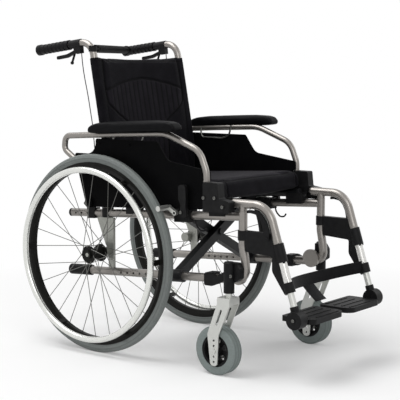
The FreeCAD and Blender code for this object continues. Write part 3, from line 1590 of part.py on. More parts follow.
def release_lever():
    start = -size("frame_offset") - release_face() - size("release_thick")
    pivot = (-release_pivot(), size("release_pivot_height"))
    outline = from_shares(RELEASE_SHARES, pivot[0], pivot[1], size("release_reach"), size("release_rise"))
    bend = size("release_bend_radius")
    soft = size("release_thick") / 3
    radii = [soft, bend, bend, bend, bend, bend, soft, soft, bend, bend, bend, bend, bend, soft]
    blade = side_plate("release_blade", outline, radii, "Sizes.release_thick", start)
    hole = bar("release_hole", "Sizes.release_pin_dia / 2 + Sizes.bearing_gap",
               place(start - size("overrun"), *pivot), place(start + 2 * size("overrun"), *pivot))
    return cut("release_lever", blade, [hole])


def leg_tube():
    overlap = size("leg_overlap") * math.sin(math.radians(size("hanger_angle")))
    return leg_bar("leg_tube", "Sizes.leg_tube_dia / 2", size("lower_tube_foot") + overlap,
                   size("knuckle_height"))


def hinge_place():
    knuckle = leg_place(size("knuckle_height"))
    return (knuckle.y - AXLE_Y, size("plate_height") - size("plate_thick") / 2)


# Knuckle at the leg tube's foot, with a lug and the footplate's hinge pin along the chair
def footplate_knuckle():
    centre = leg_place(size("knuckle_height"))
    inner = -size("knuckle_inner")
    disc = cylinder("knuckle_disc", "Sizes.knuckle_dia / 2", "Sizes.knuckle_outer - Sizes.knuckle_inner",
                    FreeCAD.Vector(-size("knuckle_outer"), centre.y, centre.z))
    neck = leg_bar("knuckle_neck", "Sizes.leg_tube_dia / 2 + Sizes.collar_wall / 2",
                   size("knuckle_neck_top"),
                   size("knuckle_height"))
    back, height = hinge_place()
    half = size("plate_lug_width") / 2
    pin_radius = size("plate_hinge_dia") / 2
    lug = block("knuckle_lug", place(-size("knuckle_inner") - size("clearance"), back - half,
                                     height - pin_radius * 1.6),
                place(-size("plate_hinge_offset"), back + half, height + pin_radius * 1.6))
    eye = bar("knuckle_eye", "Sizes.plate_hinge_dia * 0.8",
              place(-size("plate_hinge_offset"), back - half, height),
              place(-size("plate_hinge_offset"), back + half, height))
    pin_half = size("plate_hinge_length") / 2
    pin = bar("hinge_pin", "Sizes.plate_hinge_dia / 2",
              place(-size("plate_hinge_offset"), back - pin_half, height),
              place(-size("plate_hinge_offset"), back + pin_half, height))
    bore = leg_bar("knuckle_bore", "Sizes.leg_tube_dia / 2", size("knuckle_neck_top") + size("overrun"),
                   size("knuckle_height"), size("bearing_gap"))
    solid = fuse("knuckle_solid", [disc, neck, lug, eye, pin])
    return cut("footplate_knuckle", solid, [bore])


def footplate():
    back, height = hinge_place()
    outer = -size("plate_outer")
    inner = -size("plate_inner")
    rear = -plate_rear()
    front = -front_reach()
    low = size("plate_height") - size("plate_thick")
    body = doc.addObject("PartDesign::Body", "plate_body")
    sketch = add_sketch(body, "plate_outline", "XY_Plane")
    soft = size("plate_corner")
    points = [(outer, rear), (inner, rear), (inner, front), (outer, front)]
    for edge in outline_edges(flat(points), [soft / 2, soft / 2, soft * 1.6, soft], True):
        sketch.addGeometry(edge, False)
    pad = body.newObject("PartDesign::Pad", "plate_pad")
    pad.Profile = sketch
    pad.setExpression("Length", "Sizes.plate_thick")
    body.Placement = FreeCAD.Placement(FreeCAD.Vector(0, AXLE_Y, low), FreeCAD.Rotation())
    ribs = []
    span = front - rear
    for index in range(PLATE_RIB_COUNT):
        middle = rear + span * (index + 0.5) / PLATE_RIB_COUNT
        ribs.append(block("plate_rib", place(outer + soft * 2, middle - size("plate_rib_width") / 2,
                                             size("plate_height") - size("plate_rib_height") / 2),
                          place(inner - soft, middle + size("plate_rib_width") / 2,
                                size("plate_height") + size("plate_rib_height"))))
    gap = size("clearance")
    half = size("plate_lug_width") / 2 + gap
    notch = block("plate_notch", place(outer - size("overrun"), back - half, low - size("overrun")),
                  place(-size("plate_hinge_offset") + size("plate_hinge_dia") * 0.8 + gap * 2, back + half,
                        size("plate_height") + size("overrun")))
    pin_half = size("plate_hinge_length") / 2 + gap
    hole = bar("plate_hinge_hole", "Sizes.plate_hinge_dia / 2 + Sizes.bearing_gap",
               place(-size("plate_hinge_offset"), back - pin_half, height),
               place(-size("plate_hinge_offset"), back + pin_half, height))
    return cut("footplate", fuse("plate_solid", [body] + ribs), [notch, hole])


# Scissor: each arm crosses from a lower rail to the seat tube of the other side
def brace_frame(back):
    low = size("frame_offset")
    high = size("seat_tube_offset")
    tall = (seat_tube_z(0) - lower_rail_z(0)) * math.cos(TILT)
    crossing = tall * low / (low + high)
    centre = place(0, back, lower_rail_z(back)) + FreeCAD.Vector(0, math.sin(TILT),
        math.cos(TILT)) * crossing
    return centre, crossing, tall - crossing


def brace(name, side, back, bolted):
    centre, drop, rise = brace_frame(back)
    low_x = -side * size("frame_offset")
    high_x = side * size("seat_tube_offset")
    thick = size("brace_thick")
    turn = FreeCAD.Rotation(X_AXIS, -size("frame_tilt"))

    # A place in the plane square to the rails, by side offset, distance along the rails and height
    def spot(x, along, z):
        return centre + turn.multVec(FreeCAD.Vector(x, along, z))

    run = FreeCAD.Vector(high_x - low_x, 0, rise + drop)
    arm = doc.addObject("Part::Box", name + "_arm")
    arm.Length = run.Length
    arm.Width = thick
    arm.setExpression("Height", "Sizes.brace_section")
    lean = turn.multiply(FreeCAD.Rotation(X_AXIS, run))
    corner = lean.multVec(FreeCAD.Vector(0, -thick / 2, -size("brace_section") / 2))
    arm.Placement = FreeCAD.Placement(spot(low_x, 0, -drop) + corner, lean)
    half = size("brace_sleeve_length") / 2
    sleeve = bar(name + "_sleeve", "Sizes.rail_dia / 2 + Sizes.brace_sleeve_wall",
                 spot(low_x, -half, -drop),
                 spot(low_x, half, -drop))
    seat_front = -size("seat_tube_front")
    seat_rear = -size("seat_tube_rear")
    tube = bar(name + "_seat_tube", "Sizes.seat_tube_dia / 2",
               place(high_x, seat_rear, seat_tube_z(seat_rear)),
               place(high_x, seat_front, seat_tube_z(seat_front)))
    bore = bar(name + "_bore", "Sizes.rail_dia / 2 + Sizes.bearing_gap", spot(low_x, -half * 2, -drop),
               spot(low_x, half * 2, -drop))
    solid = fuse(name + "_solid", [arm, sleeve])
    hole_radius = "Sizes.brace_bolt_dia / 2 + Sizes.bearing_gap"
    if bolted:
        head_radius = "Sizes.brace_bolt_head_dia / 2"
        far = thick * 1.5 + size("brace_gap")
        bolt = bar(name + "_bolt", "Sizes.brace_bolt_dia / 2",
                   spot(0, -thick / 2 - size("brace_bolt_head"), 0),
                   spot(0, far + size("clearance") + size("brace_bolt_head"), 0))
        front_head = bar(name + "_bolt_head", head_radius, spot(0, -thick / 2 - size("brace_bolt_head"), 0),
                         spot(0, -thick / 2, 0))
        rear_nut = bar(name + "_bolt_nut", head_radius, spot(0, far + size("clearance"), 0),
                       spot(0, far + size("clearance") + size("brace_bolt_head"), 0))
        washer = bar(name + "_washer", head_radius, spot(0, thick / 2, 0),
                     spot(0, thick / 2 + size("brace_gap") - size("clearance"), 0))
        body = cut(name + "_bored", solid, [bore])
        return fuse(name, [body, tube, bolt, front_head, rear_nut, washer])
    hole = bar(name + "_bolt_hole", hole_radius, spot(0, -thick, 0), spot(0, thick, 0))
    return fuse(name, [cut(name + "_bored", solid, [bore, hole]), tube])


# Seat: a cushion lofted from front to rear, with a crown, drawn-in sides and rounded ends
SEAT_SHARES = [(0, 0.8, 0.97), (0.025, 0.96, 0.995), (0.12, 1, 1), (0.5, 0.96, 1), (0.88, 1, 1),
               (0.97, 0.94, 0.99),
               (1, 0.7, 0.96)]


def seat():
    front = -size("seat_tube_front")
    rear = -size("seat_rear")
    turn = FreeCAD.Rotation(X_AXIS, -size("frame_tilt"))
    base = place(0, front, seat_tube_z(front)) + turn.multVec(Z_AXIS) * (size("seat_tube_dia") / 2 + size("clearance"))
    length = (rear - front) / math.cos(TILT)
    wires = []
    for share, tall_share, wide_share in SEAT_SHARES:
        half = size("seat_half_width") * wide_share
        tall = size("seat_thick") * tall_share
        bulge = size("seat_side_round") / 2
        crown = size("seat_crown") * tall_share
        start = base + turn.multVec(Y_AXIS) * (length * share)

        def spot(x, z):
            return start + turn.multVec(FreeCAD.Vector(x, 0, z))

        inset = bulge
        low_left = spot(-half + inset, 0)
        low_right = spot(half - inset, 0)
        high_left = spot(-half + inset, tall - crown)
        high_right = spot(half - inset, tall - crown)
        edges = [
            Part.LineSegment(low_left, low_right).toShape(),
            Part.Arc(low_right, spot(half, (tall - crown) / 2), high_right).toShape(),
            Part.Arc(high_right, spot(0, tall), high_left).toShape(),
            Part.Arc(high_left, spot(-half, (tall - crown) / 2), low_left).toShape(),
        ]
        wires.append(Part.Wire(edges))
    piece = doc.addObject("Part::Feature", "seat")
    piece.Shape = Part.makeLoft(wires, True, True)
    return piece


# Backrest: a slung panel lofted upwards, wrapped round both posts
def backrest():
    recline = math.tan(math.radians(size("post_recline_angle")))
    foot = size("back_foot_height")
    bend = size("post_bend_height")
    top = back_high()
    post = size("frame_offset")
    wrap = size("back_wrap")
    wires = []
    stations = [(foot, 0), (bend, 0), (top, (top - bend) * recline)]
    for height, shift in stations:
        middle = size("post_foot_reach") + shift
        dip = size("back_dip")
        thick = size("back_panel_thick")

        def spot(x, back):
            return place(x, middle + back, height)

        front_right = spot(-post, -wrap)
        front_left = spot(post, -wrap)
        rear_left = spot(post, wrap)
        rear_right = spot(-post, wrap)
        slant = wrap * math.sqrt(0.5)
        edges = [
            Part.Arc(front_right, spot(0, dip - thick / 2), front_left).toShape(),
            Part.Arc(front_left, spot(post + slant, -slant), spot(post + wrap, 0)).toShape(),
            Part.Arc(spot(post + wrap, 0), spot(post + slant, slant), rear_left).toShape(),
            Part.Arc(rear_left, spot(0, dip + thick / 2), rear_right).toShape(),
            Part.Arc(rear_right, spot(-post - slant, slant), spot(-post - wrap, 0)).toShape(),
            Part.Arc(spot(-post - wrap, 0), spot(-post - slant, -slant), front_right).toShape(),
        ]
        wires.append(Part.Wire(edges))
    blank = doc.addObject("Part::Feature", "back_blank")
    blank.Shape = Part.makeLoft(wires, True, True)
    holes = []
    for side in (-1, 1):
        holes.append(bent_tube("back_hole", post_points(), post_radii(),
                               "Sizes.post_dia + 2 * Sizes.clearance",
                               side * size("frame_offset")))
    return cut("backrest", blank, holes)


# A band between two side points that sags backwards, standing on its edge
def band(name, end, middle, tall, thick):
    left = FreeCAD.Vector(-end.x, end.y, end.z)
    inward = FreeCAD.Vector(0, thick, 0)
    edges = [
        Part.Arc(end, middle, left).toShape(),
        Part.LineSegment(left, left + inward).toShape(),
        Part.Arc(left + inward, middle + inward, end + inward).toShape(),
        Part.LineSegment(end + inward, end).toShape(),
    ]
    piece = doc.addObject("Part::Feature", name)
    piece.Shape = Part.Face(Part.Wire(edges)).extrude(FreeCAD.Vector(0, 0, tall))
    return piece


def straps():
    level = size("strap_level") - size("strap_height") / 2
    anchor = leg_place(size("strap_level"))
    seat_radius = size("lower_tube_dia") / 2 + size("sleeve_wall") + size("clearance")
    end = FreeCAD.Vector(-size("frame_offset") + seat_radius, anchor.y, level)
    middle = place(0, -strap_middle(), level)
    calf = band("calf_strap", end, middle, size("strap_height"), size("strap_thick"))
    half = size("heel_width") / 2
    top = size("strap_level") - size("strap_height") * 0.3
    rear = size("strap_thick") + size("clearance") - strap_middle()
    low = size("heel_foot_level")
    foot_back = -heel_foot()
    mid_height = (top + low) / 2
    mid_back = (rear + foot_back) / 2 + size("strap_thick") * 2
    thick = size("strap_thick")
    edges = [
        Part.Arc(place(-half, rear, top), place(-half, mid_back, mid_height),
                 place(-half, foot_back, low)).toShape(),
        Part.LineSegment(place(-half, foot_back, low), place(-half, foot_back + thick, low)).toShape(),
        Part.Arc(place(-half, foot_back + thick, low), place(-half, mid_back + thick, mid_height),
                 place(-half, rear + thick, top)).toShape(),
        Part.LineSegment(place(-half, rear + thick, top), place(-half, rear, top)).toShape(),
    ]
    heel = doc.addObject("Part::Feature", "heel_strap")
    heel.Shape = Part.Face(Part.Wire(edges)).extrude(FreeCAD.Vector(size("heel_width"), 0, 0))
    return compound("straps", [calf, heel])


def stabiliser_bar():
    swing = math.radians(size("bar_swing_angle"))
    hinge_x, hinge_back = bar_hinge()
    along = FreeCAD.Vector(math.cos(swing), math.sin(swing), 0)
    hinge = place(hinge_x, hinge_back, bar_level())
    tube = bar("bar_tube", "Sizes.bar_dia / 2", hinge - along * (size("bar_dia") / 4),
               hinge + along * size("bar_length"))
    nose = doc.addObject("Part::Cylinder", "bar_nose")
    nose.setExpression("Radius", "Sizes.bar_dia / 2")
    nose.setExpression("Height", "Sizes.bar_dia")
    nose.Placement = FreeCAD.Placement(hinge - Z_AXIS * (size("bar_dia") / 2), FreeCAD.Rotation())
    rounded = doc.addObject("Part::MultiCommon", "bar_end_round")
    reach = size("bar_dia") / 2
    rod = bar("bar_end_rod", "Sizes.bar_dia / 2", hinge - along * reach, hinge + along * reach)
    rounded.Shapes = [nose, rod]
    tail = hinge + along * size("bar_length")
    collar = bar("bar_collar", "Sizes.bar_collar_dia / 2", tail - along * size("bar_collar_length"), tail)
    knob = bar("bar_neck", "Sizes.bar_dia * 0.3", tail, tail + along * size("bar_collar_length"))
    cap = bar("bar_cap", "Sizes.bar_dia / 2", tail + along * size("bar_collar_length"),
              tail + along * (2 * size("bar_collar_length")))
    gap = size("bar_lug_thick") / 2 + size("clearance")
    slot = cylinder("bar_slot", "Sizes.bar_dia * 0.6", "Sizes.bar_lug_thick + 2 * Sizes.clearance",
                    hinge - Z_AXIS * gap, Z_AXIS)
    hole = bar("bar_hole", "Sizes.bar_pin_dia / 2 + Sizes.bearing_gap", hinge - Z_AXIS * size("bar_dia"),
               hinge + Z_AXIS * size("bar_dia"))
    solid = fuse("bar_solid", [tube, rounded, collar, knob, cap])
    return cut("stabiliser_bar", solid, [slot, hole])


SIDE_PIECES = [
    ("side_frame", side_frame),
    ("back_post", back_post),
    ("axle_plate", axle_plate),
    ("push_grip", push_grip),
    ("brake_perch", brake_perch),
    ("brake_lever", brake_lever),
    ("brake_cable", brake_cable),
    ("tyre", tyre),
    ("rim_hub", rim_and_hub),
    ("handrim", handrim),
    ("spokes", spokes),
    ("caster_fork", caster_fork),
    ("caster_tyre", caster_tyre),
    ("caster_hub", caster_hub),
    ("armrest_tube", armrest_tube),
    ("armrest_pad", armrest_pad),
    ("side_panel", side_panel),
    ("lock_lever", lock_lever),
    ("lock_shoe", lock_shoe),
    ("hanger_tube", hanger_tube),
    ("hanger_bracket", hanger_bracket),
    ("hanger_lower_tube", hanger_lower_tube),
    ("release_lever", release_lever),
    ("leg_tube", leg_tube),
    ("footplate_knuckle", footplate_knuckle),
    ("footplate", footplate),
]
CENTRE_PIECES = [
    ("brace_a", lambda: brace("brace_a_whole", 1,
                              -size("brace_reach") - (size("brace_thick") + size("brace_gap")) / 2, True)),
    ("brace_b", lambda: brace("brace_b_whole", -1,
                              -size("brace_reach") + (size("brace_thick") + size("brace_gap")) / 2, False)),
    ("seat", seat),
    ("backrest", backrest),
    ("straps", straps),
    ("stabiliser_bar", stabiliser_bar),
]


def mirrored(piece, name):
    copy = doc.addObject("Part::Mirroring", name)
    copy.Source = piece
    copy.Base = (0, 0, 0)
    copy.Normal = (1, 0, 0)
    return copy


def build_all():
    nodes = []
    for name, make in SIDE_PIECES:
        piece = make()
        piece.Label = name + "_right"
        nodes.append(piece)
        copy = mirrored(piece, name + "_mirror")
        copy.Label = name + "_left"
        nodes.append(copy)
    shared = frame_fittings()
    left = compound("fittings_plain", shared)
    left_copy = mirrored(left, "frame_fittings_mirror")
    left_copy.Label = "frame_fittings_left"
    right = compound("frame_fittings", shared + [bar_bracket()])
    right.Label = "frame_fittings_right"
    nodes += [right, left_copy]
    for name, make in CENTRE_PIECES:
        piece = make()
        piece.Label = name
        nodes.append(piece)
    return nodes


def check(nodes):
    failed = [item.Label for item in doc.Objects if "Invalid" in item.State or "Error" in item.State]
    if failed:
        raise RuntimeError("failed: " + ", ".join(failed))
    broken = [node.Label for node in nodes if node.Shape.isNull() or not node.Shape.isValid()]
    if broken:
        raise RuntimeError("bad shape: " + ", ".join(broken))


nodes = build_all()
doc.recompute()
check(nodes)
os.makedirs("parts", exist_ok=True)
for node in nodes:
    node.Shape.exportStep("parts/%s.step" % node.Label)
box = FreeCAD.BoundBox()
for node in nodes:
    box.add(node.Shape.BoundBox)
print("nodes", len(nodes), "box", box)
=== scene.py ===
import bpy
import math
from mathutils import Matrix, Vector


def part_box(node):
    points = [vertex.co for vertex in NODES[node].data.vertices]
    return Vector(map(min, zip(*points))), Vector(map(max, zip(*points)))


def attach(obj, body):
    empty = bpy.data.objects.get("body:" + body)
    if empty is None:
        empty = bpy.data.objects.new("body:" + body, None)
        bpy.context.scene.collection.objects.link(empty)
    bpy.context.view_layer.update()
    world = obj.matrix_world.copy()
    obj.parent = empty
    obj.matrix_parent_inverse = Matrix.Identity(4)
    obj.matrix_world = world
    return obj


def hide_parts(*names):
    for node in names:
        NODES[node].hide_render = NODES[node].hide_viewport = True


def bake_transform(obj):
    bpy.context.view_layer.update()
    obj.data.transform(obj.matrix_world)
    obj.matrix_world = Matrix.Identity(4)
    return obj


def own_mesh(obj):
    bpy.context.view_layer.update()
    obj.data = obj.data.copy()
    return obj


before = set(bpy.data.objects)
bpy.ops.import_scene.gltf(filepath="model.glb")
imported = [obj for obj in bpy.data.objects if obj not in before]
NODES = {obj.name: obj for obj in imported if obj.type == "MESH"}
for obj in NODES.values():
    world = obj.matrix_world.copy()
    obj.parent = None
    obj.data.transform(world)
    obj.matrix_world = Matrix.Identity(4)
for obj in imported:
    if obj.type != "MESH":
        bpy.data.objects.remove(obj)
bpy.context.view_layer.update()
SIDES = {"right": 1, "left": -1}

MM = 0.001
# Driving dimensions in millimetres: the rear axle behind the origin, the back posts from the middle,
# the upper rail's height at the axle, and the seat tube above that rail
AXLE_BACK = 220
POST_X = 204
RAIL_HEIGHT = 425
SEAT_TUBE_LIFT = 33
# The rails and the seat tubes climb towards the front
CLIMB = math.tan(math.radians(3.3))


# A point in metres from millimetres: across, behind the rear axle, above the floor
def at(x, back, z):
    return Vector((x, AXLE_BACK + back, z)) * MM


# Height of the seat tubes' centre line
def seat_tube(back):
    return RAIL_HEIGHT - back * CLIMB + SEAT_TUBE_LIFT


# An sRGB hex colour as linear values
def linear(code):
    values = []
    for start in (0, 2, 4):
        part = int(code[start:start + 2], 16) / 255
        values.append(part / 12.92 if part <= 0.04045 else ((part + 0.055) / 1.055) ** 2.4)
    return (*values, 1.0)


# Adds one node with its settings, socket values, incoming links and the sockets that its outputs feed
def add(tree, kind, settings=None, values=None, links=None, feeds=None):
    made = tree.nodes.new(kind)
    for key, value in (settings or {}).items():
        setattr(made, key, value)
    for key, value in (values or {}).items():
        made.inputs[key].default_value = value
    for key, socket in (links or {}).items():
        tree.links.new(socket, made.inputs[key])
    for key, socket in (feeds or {}).items():
        tree.links.new(made.outputs[key], socket)
    return made


# Starts a material and gives its tree, its shader and its Object coordinates
def surface(name, color, roughness, metallic=0.0, **sockets):
    mat = bpy.data.materials.new(name)
    mat.use_nodes = True
    tree = mat.node_tree
    tree.nodes.clear()
    values = {"Base Color": linear(color), "Roughness": roughness, "Metallic": metallic}
    for key, value in sockets.items():
        values[key.replace("_", " ")] = value
    shader = add(tree, "ShaderNodeBsdfPrincipled", None, values)
    add(tree, "ShaderNodeOutputMaterial", None, None, {"Surface": shader.outputs["BSDF"]})
    coords = add(tree, "ShaderNodeTexCoord").outputs["Object"]
    return mat, tree, shader, coords


# Two colours mixed by a slow noise, for the uneven tone of a real surface
def mottle(tree, shader, coords, one, two, size_mm, detail):
    cloud = add(tree, "ShaderNodeTexNoise", None, {"Scale": 1000 / size_mm, "Detail": detail},
                {"Vector": coords})
    ramp = add(tree, "ShaderNodeValToRGB", None, None, {"Fac": cloud.outputs["Fac"]})
    ramp.color_ramp.elements[0].position = 0.35
    ramp.color_ramp.elements[0].color = linear(one)
    ramp.color_ramp.elements[1].position = 0.65
    ramp.color_ramp.elements[1].color = linear(two)
    tree.links.new(ramp.outputs["Color"], shader.inputs["Base Color"])
    return cloud


# Champagne lacquer over steel tube: a warm metallic coat with fine flakes under a clear layer
def champagne_lacquer():
    mat, tree, shader, coords = surface("champagne_lacquer", "8B8783", 0.33, 0.85,
                                        Coat_Weight=0.2, Coat_Roughness=0.15)
    flakes = mottle(tree, shader, coords, "85817D", "928E89", 1.4, 2.0)
    add(tree, "ShaderNodeBump", None, {"Strength": 0.25, "Distance": 0.02 * MM},
        {"Height": flakes.outputs["Fac"]}, {"Normal": shader.inputs["Normal"]})
    return mat


# Anodised aluminium castings, matt silver with a faint grain
def silver_anodised():
    mat, tree, shader, coords = surface("silver_anodised_aluminium", "C6C7C3", 0.36, 0.85)
    grain = mottle(tree, shader, coords, "BDBEBA", "CFD0CC", 1.0, 4.0)
    add(tree, "ShaderNodeBump", None, {"Strength": 0.3, "Distance": 0.03 * MM},
        {"Height": grain.outputs["Fac"]}, {"Normal": shader.inputs["Normal"]})
    return mat


# Polished and anodised aluminium tube of the handrims, near white with a tight glint
def handrim_metal():
    mat, tree, shader, coords = surface("polished_handrim_aluminium", "DCDDD9", 0.24, 0.9)
    mottle(tree, shader, coords, "DADBD7", "E0E1DD", 2.5, 3.0)
    return mat


# Satin chromed steel of the lower hanger tubes
def satin_chrome():
    mat, tree, shader, coords = surface("satin_chromed_steel", "D2D1CE", 0.22, 0.95)
    mottle(tree, shader, coords, "CBCAC7", "DAD9D6", 4.0, 4.0)
    return mat


# Stainless steel wire and small screws
def stainless():
    mat, tree, shader, coords = surface("stainless_steel", "6C6C69", 0.36, 1.0)
    mottle(tree, shader, coords, "646461", "747471", 3.0, 3.0)
    return mat


# Pressed aluminium plate, matt and slightly dull
def pressed_plate():
    mat, tree, shader, coords = surface("pressed_aluminium_plate", "9FA09A", 0.42, 0.75)
    grain = mottle(tree, shader, coords, "94958F", "A9AAA4", 2.5, 5.0)
    add(tree, "ShaderNodeBump", None, {"Strength": 0.3, "Distance": 0.03 * MM},
        {"Height": grain.outputs["Fac"]}, {"Normal": shader.inputs["Normal"]})
    return mat


# Black anodised rim extrusion with a satin glint
def black_anodised():
    mat, tree, shader, coords = surface("black_anodised_aluminium", "11110F", 0.45, 0.0,
                                        Specular_IOR_Level=0.12)
    mottle(tree, shader, coords, "0E0E0C", "161614", 6.0, 3.0)
    return mat


# Glass-filled nylon castings: black, with the fine even texture of a sparked mould
def moulded_nylon():
    mat, tree, shader, coords = surface("moulded_black_nylon", "0D0D0E", 0.5, 0.0, Specular_IOR_Level=0.15)
    mottle(tree, shader, coords, "0B0B0C", "131314", 14.0, 3.0)
    grain = add(tree, "ShaderNodeTexNoise", None, {"Scale": 1000 / 0.9, "Detail": 2.0}, {"Vector": coords})
    add(tree, "ShaderNodeBump", None, {"Strength": 0.5, "Distance": 0.05 * MM},
        {"Height": grain.outputs["Fac"]}, {"Normal": shader.inputs["Normal"]})
    return mat


# Black powder coat on the scissor arms, with an orange-peel surface
def powder_coat():
    mat, tree, shader, coords = surface("black_powder_coat", "121314", 0.46, 0.0, Specular_IOR_Level=0.3)
    mottle(tree, shader, coords, "0F1011", "17181A", 30.0, 3.0)
    peel = add(tree, "ShaderNodeTexNoise", None, {"Scale": 1000 / 2.2, "Detail": 1.0}, {"Vector": coords})
    add(tree, "ShaderNodeBump", None, {"Strength": 0.5, "Distance": 0.06 * MM},
        {"Height": peel.outputs["Fac"]}, {"Normal": shader.inputs["Normal"]})
    return mat


# Moulded ABS of the side panels and of the bar behind the back, deep black with a soft sheen
def panel_abs():
    mat, tree, shader, coords = surface("moulded_black_abs", "050506", 0.6, 0.0, Specular_IOR_Level=0.04)
    mottle(tree, shader, coords, "040405", "070708", 40.0, 3.0)
    grain = add(tree, "ShaderNodeTexVoronoi", None, {"Scale": 1000 / 1.6}, {"Vector": coords})
    add(tree, "ShaderNodeBump", None, {"Strength": 0.4, "Distance": 0.06 * MM},
        {"Height": grain.outputs["Distance"]}, {"Normal": shader.inputs["Normal"]})
    return mat


# Integral-skin polyurethane foam of the armrest pads, with a leathery pebble grain
def pad_foam():
    mat, tree, shader, coords = surface("integral_skin_polyurethane", "08080A", 0.5, 0.0,
                                        Specular_IOR_Level=0.07)
    mottle(tree, shader, coords, "060608", "0B0B0D", 25.0, 3.0)
    grain = add(tree, "ShaderNodeTexVoronoi", None, {"Scale": 1000 / 2.4}, {"Vector": coords})
    add(tree, "ShaderNodeBump", None, {"Strength": 0.5, "Distance": 0.12 * MM},
        {"Height": grain.outputs["Distance"]}, {"Normal": shader.inputs["Normal"]})
    return mat


# Soft PVC of the push grips
def grip_vinyl():
    mat, tree, shader, coords = surface("soft_vinyl_grip", "0A0A0B", 0.4, 0.0, Specular_IOR_Level=0.12)
    mottle(tree, shader, coords, "08080A", "0E0E10", 10.0, 3.0)
    grain = add(tree, "ShaderNodeTexNoise", None, {"Scale": 1000 / 1.2, "Detail": 2.0}, {"Vector": coords})
    add(tree, "ShaderNodeBump", None, {"Strength": 0.5, "Distance": 0.06 * MM},
        {"Height": grain.outputs["Fac"]}, {"Normal": shader.inputs["Normal"]})
    return mat


# The scale of a wave texture that repeats after so many millimetres. Its bands come every pi / 10 / scale
def wave_scale(repeat_mm):
    return math.pi / 10 / (repeat_mm * MM)


# Fine moulded lines round a tyre's tread: a groove at each step across its width, drawn only as painted
# shade, the rubber's colour darkening towards each groove's depth
def tread_groove_shade(tree, shader, coords, pitch_mm, code):
    lines = add(tree, "ShaderNodeTexWave", {"bands_direction": "X", "wave_profile": "SIN"},
                {"Scale": wave_scale(pitch_mm), "Distortion": 0.0}, {"Vector": coords})
    groove_depth_shade = add(tree, "ShaderNodeMapRange", None, {"From Min": 0.25, "From Max": 0.0, "To Max": 0.75},
               {"Value": lines.outputs["Fac"]})
    tone = add(tree, "ShaderNodeMix", {"data_type": "RGBA"}, None, {"Factor": groove_depth_shade.outputs[0]})
    tree.links.new(shader.inputs["Base Color"].links[0].from_socket, tone.inputs[6])
    tone.inputs[7].default_value = linear(code)
    tree.links.new(tone.outputs[2], shader.inputs["Base Color"])


# Grey solid polyurethane tyre, matt, a little dusty where it rolls
def tyre_rubber():
    mat, tree, shader, coords = surface("grey_solid_tyre", "6C716F", 0.62)
    dust = mottle(tree, shader, coords, "6A6F6D", "707573", 6.0, 6.0)
    # Painted shade in the tread's grooves
    tread_groove_shade(tree, shader, coords, 3.4, "575C5A")
    add(tree, "ShaderNodeBump", None, {"Strength": 0.3, "Distance": 0.05 * MM},
        {"Height": dust.outputs["Fac"]}, {"Normal": shader.inputs["Normal"]})
    return mat


# Grey rubber of the caster tyres, a little greener and lighter than the big tyres
def caster_rubber():
    mat, tree, shader, coords = surface("grey_caster_rubber", "757D7A", 0.58)
    dust = mottle(tree, shader, coords, "727B78", "788180", 5.0, 5.0)
    # Painted shade in the tread's grooves
    tread_groove_shade(tree, shader, coords, 4.0, "56615D")
    add(tree, "ShaderNodeBump", None, {"Strength": 0.3, "Distance": 0.05 * MM},
        {"Height": dust.outputs["Fac"]}, {"Normal": shader.inputs["Normal"]})
    return mat


# Painted shade in the valley of a sewn line: darkens the cloth's colour where the mesh marks the valley in
# its own attribute "seam"
def seam_valley_shade(tree, shader, code):
    line = add(tree, "ShaderNodeAttribute", {"attribute_name": "seam"}).outputs["Fac"]
    cloth = shader.inputs["Base Color"].links[0].from_socket
    mixed = add(tree, "ShaderNodeMix", {"data_type": "RGBA"}, None, {"Factor": line})
    tree.links.new(cloth, mixed.inputs[6])
    mixed.inputs[7].default_value = linear(code)
    tree.links.new(mixed.outputs[2], shader.inputs["Base Color"])


# A plain weave from two crossed waves. Real threads are about 0.5 mm, drawn here coarse enough to show
def weave(tree, coords, thread_mm):
    waves = []
    for direction in ("X", "Z"):
        waves.append(add(tree, "ShaderNodeTexWave", {"bands_direction": direction, "wave_profile": "SIN"},
                         {"Scale": wave_scale(thread_mm), "Distortion": 0.4, "Detail": 1.0},
                         {"Vector": coords}))
    return add(tree, "ShaderNodeMath", {"operation": "MULTIPLY"}, None,
               {0: waves[0].outputs["Fac"], 1: waves[1].outputs["Fac"]})


# Coated nylon cloth of the upholstery's border and front, close plain weave
def nylon_cloth():
    mat, tree, shader, coords = surface("coated_nylon_cloth", "0E0D11", 0.85, 0.0, Sheen_Weight=0.03,
                                        Sheen_Roughness=0.4, Specular_IOR_Level=0.08)
    mottle(tree, shader, coords, "0B0A0E", "131216", 35.0, 5.0)
    # Painted shade in the valleys of the sewn lines
    seam_valley_shade(tree, shader, "060607")
    threads = weave(tree, coords, 1.0)
    add(tree, "ShaderNodeBump", None, {"Strength": 0.6, "Distance": 0.2 * MM},
        {"Height": threads.outputs[0]}, {"Normal": shader.inputs["Normal"]})
    return mat


# Three-layer spacer knit of the seat's top and the back's middle: fine ribs with open cells between
def spacer_knit():
    mat, tree, shader, coords = surface("spacer_knit_cloth", "17151A", 0.88, 0.0, Sheen_Weight=0.06,
                                        Sheen_Roughness=0.35, Specular_IOR_Level=0.1)
    mottle(tree, shader, coords, "131116", "1C1A1F", 45.0, 5.0)
    # Painted shade in the valleys of the sewn lines
    seam_valley_shade(tree, shader, "070709")
    ribs = add(tree, "ShaderNodeTexWave", {"bands_direction": "X", "wave_profile": "SIN"},
               {"Scale": wave_scale(3.14), "Distortion": 0.6, "Detail": 2.0}, {"Vector": coords})
    cells = add(tree, "ShaderNodeTexVoronoi", None, {"Scale": 1000 / 3.2}, {"Vector": coords})
    both = add(tree, "ShaderNodeMath", {"operation": "ADD"}, None,
               {0: ribs.outputs["Fac"], 1: cells.outputs["Distance"]})
    add(tree, "ShaderNodeBump", None, {"Strength": 0.6, "Distance": 0.3 * MM},
        {"Height": both.outputs[0]}, {"Normal": shader.inputs["Normal"]})
    return mat


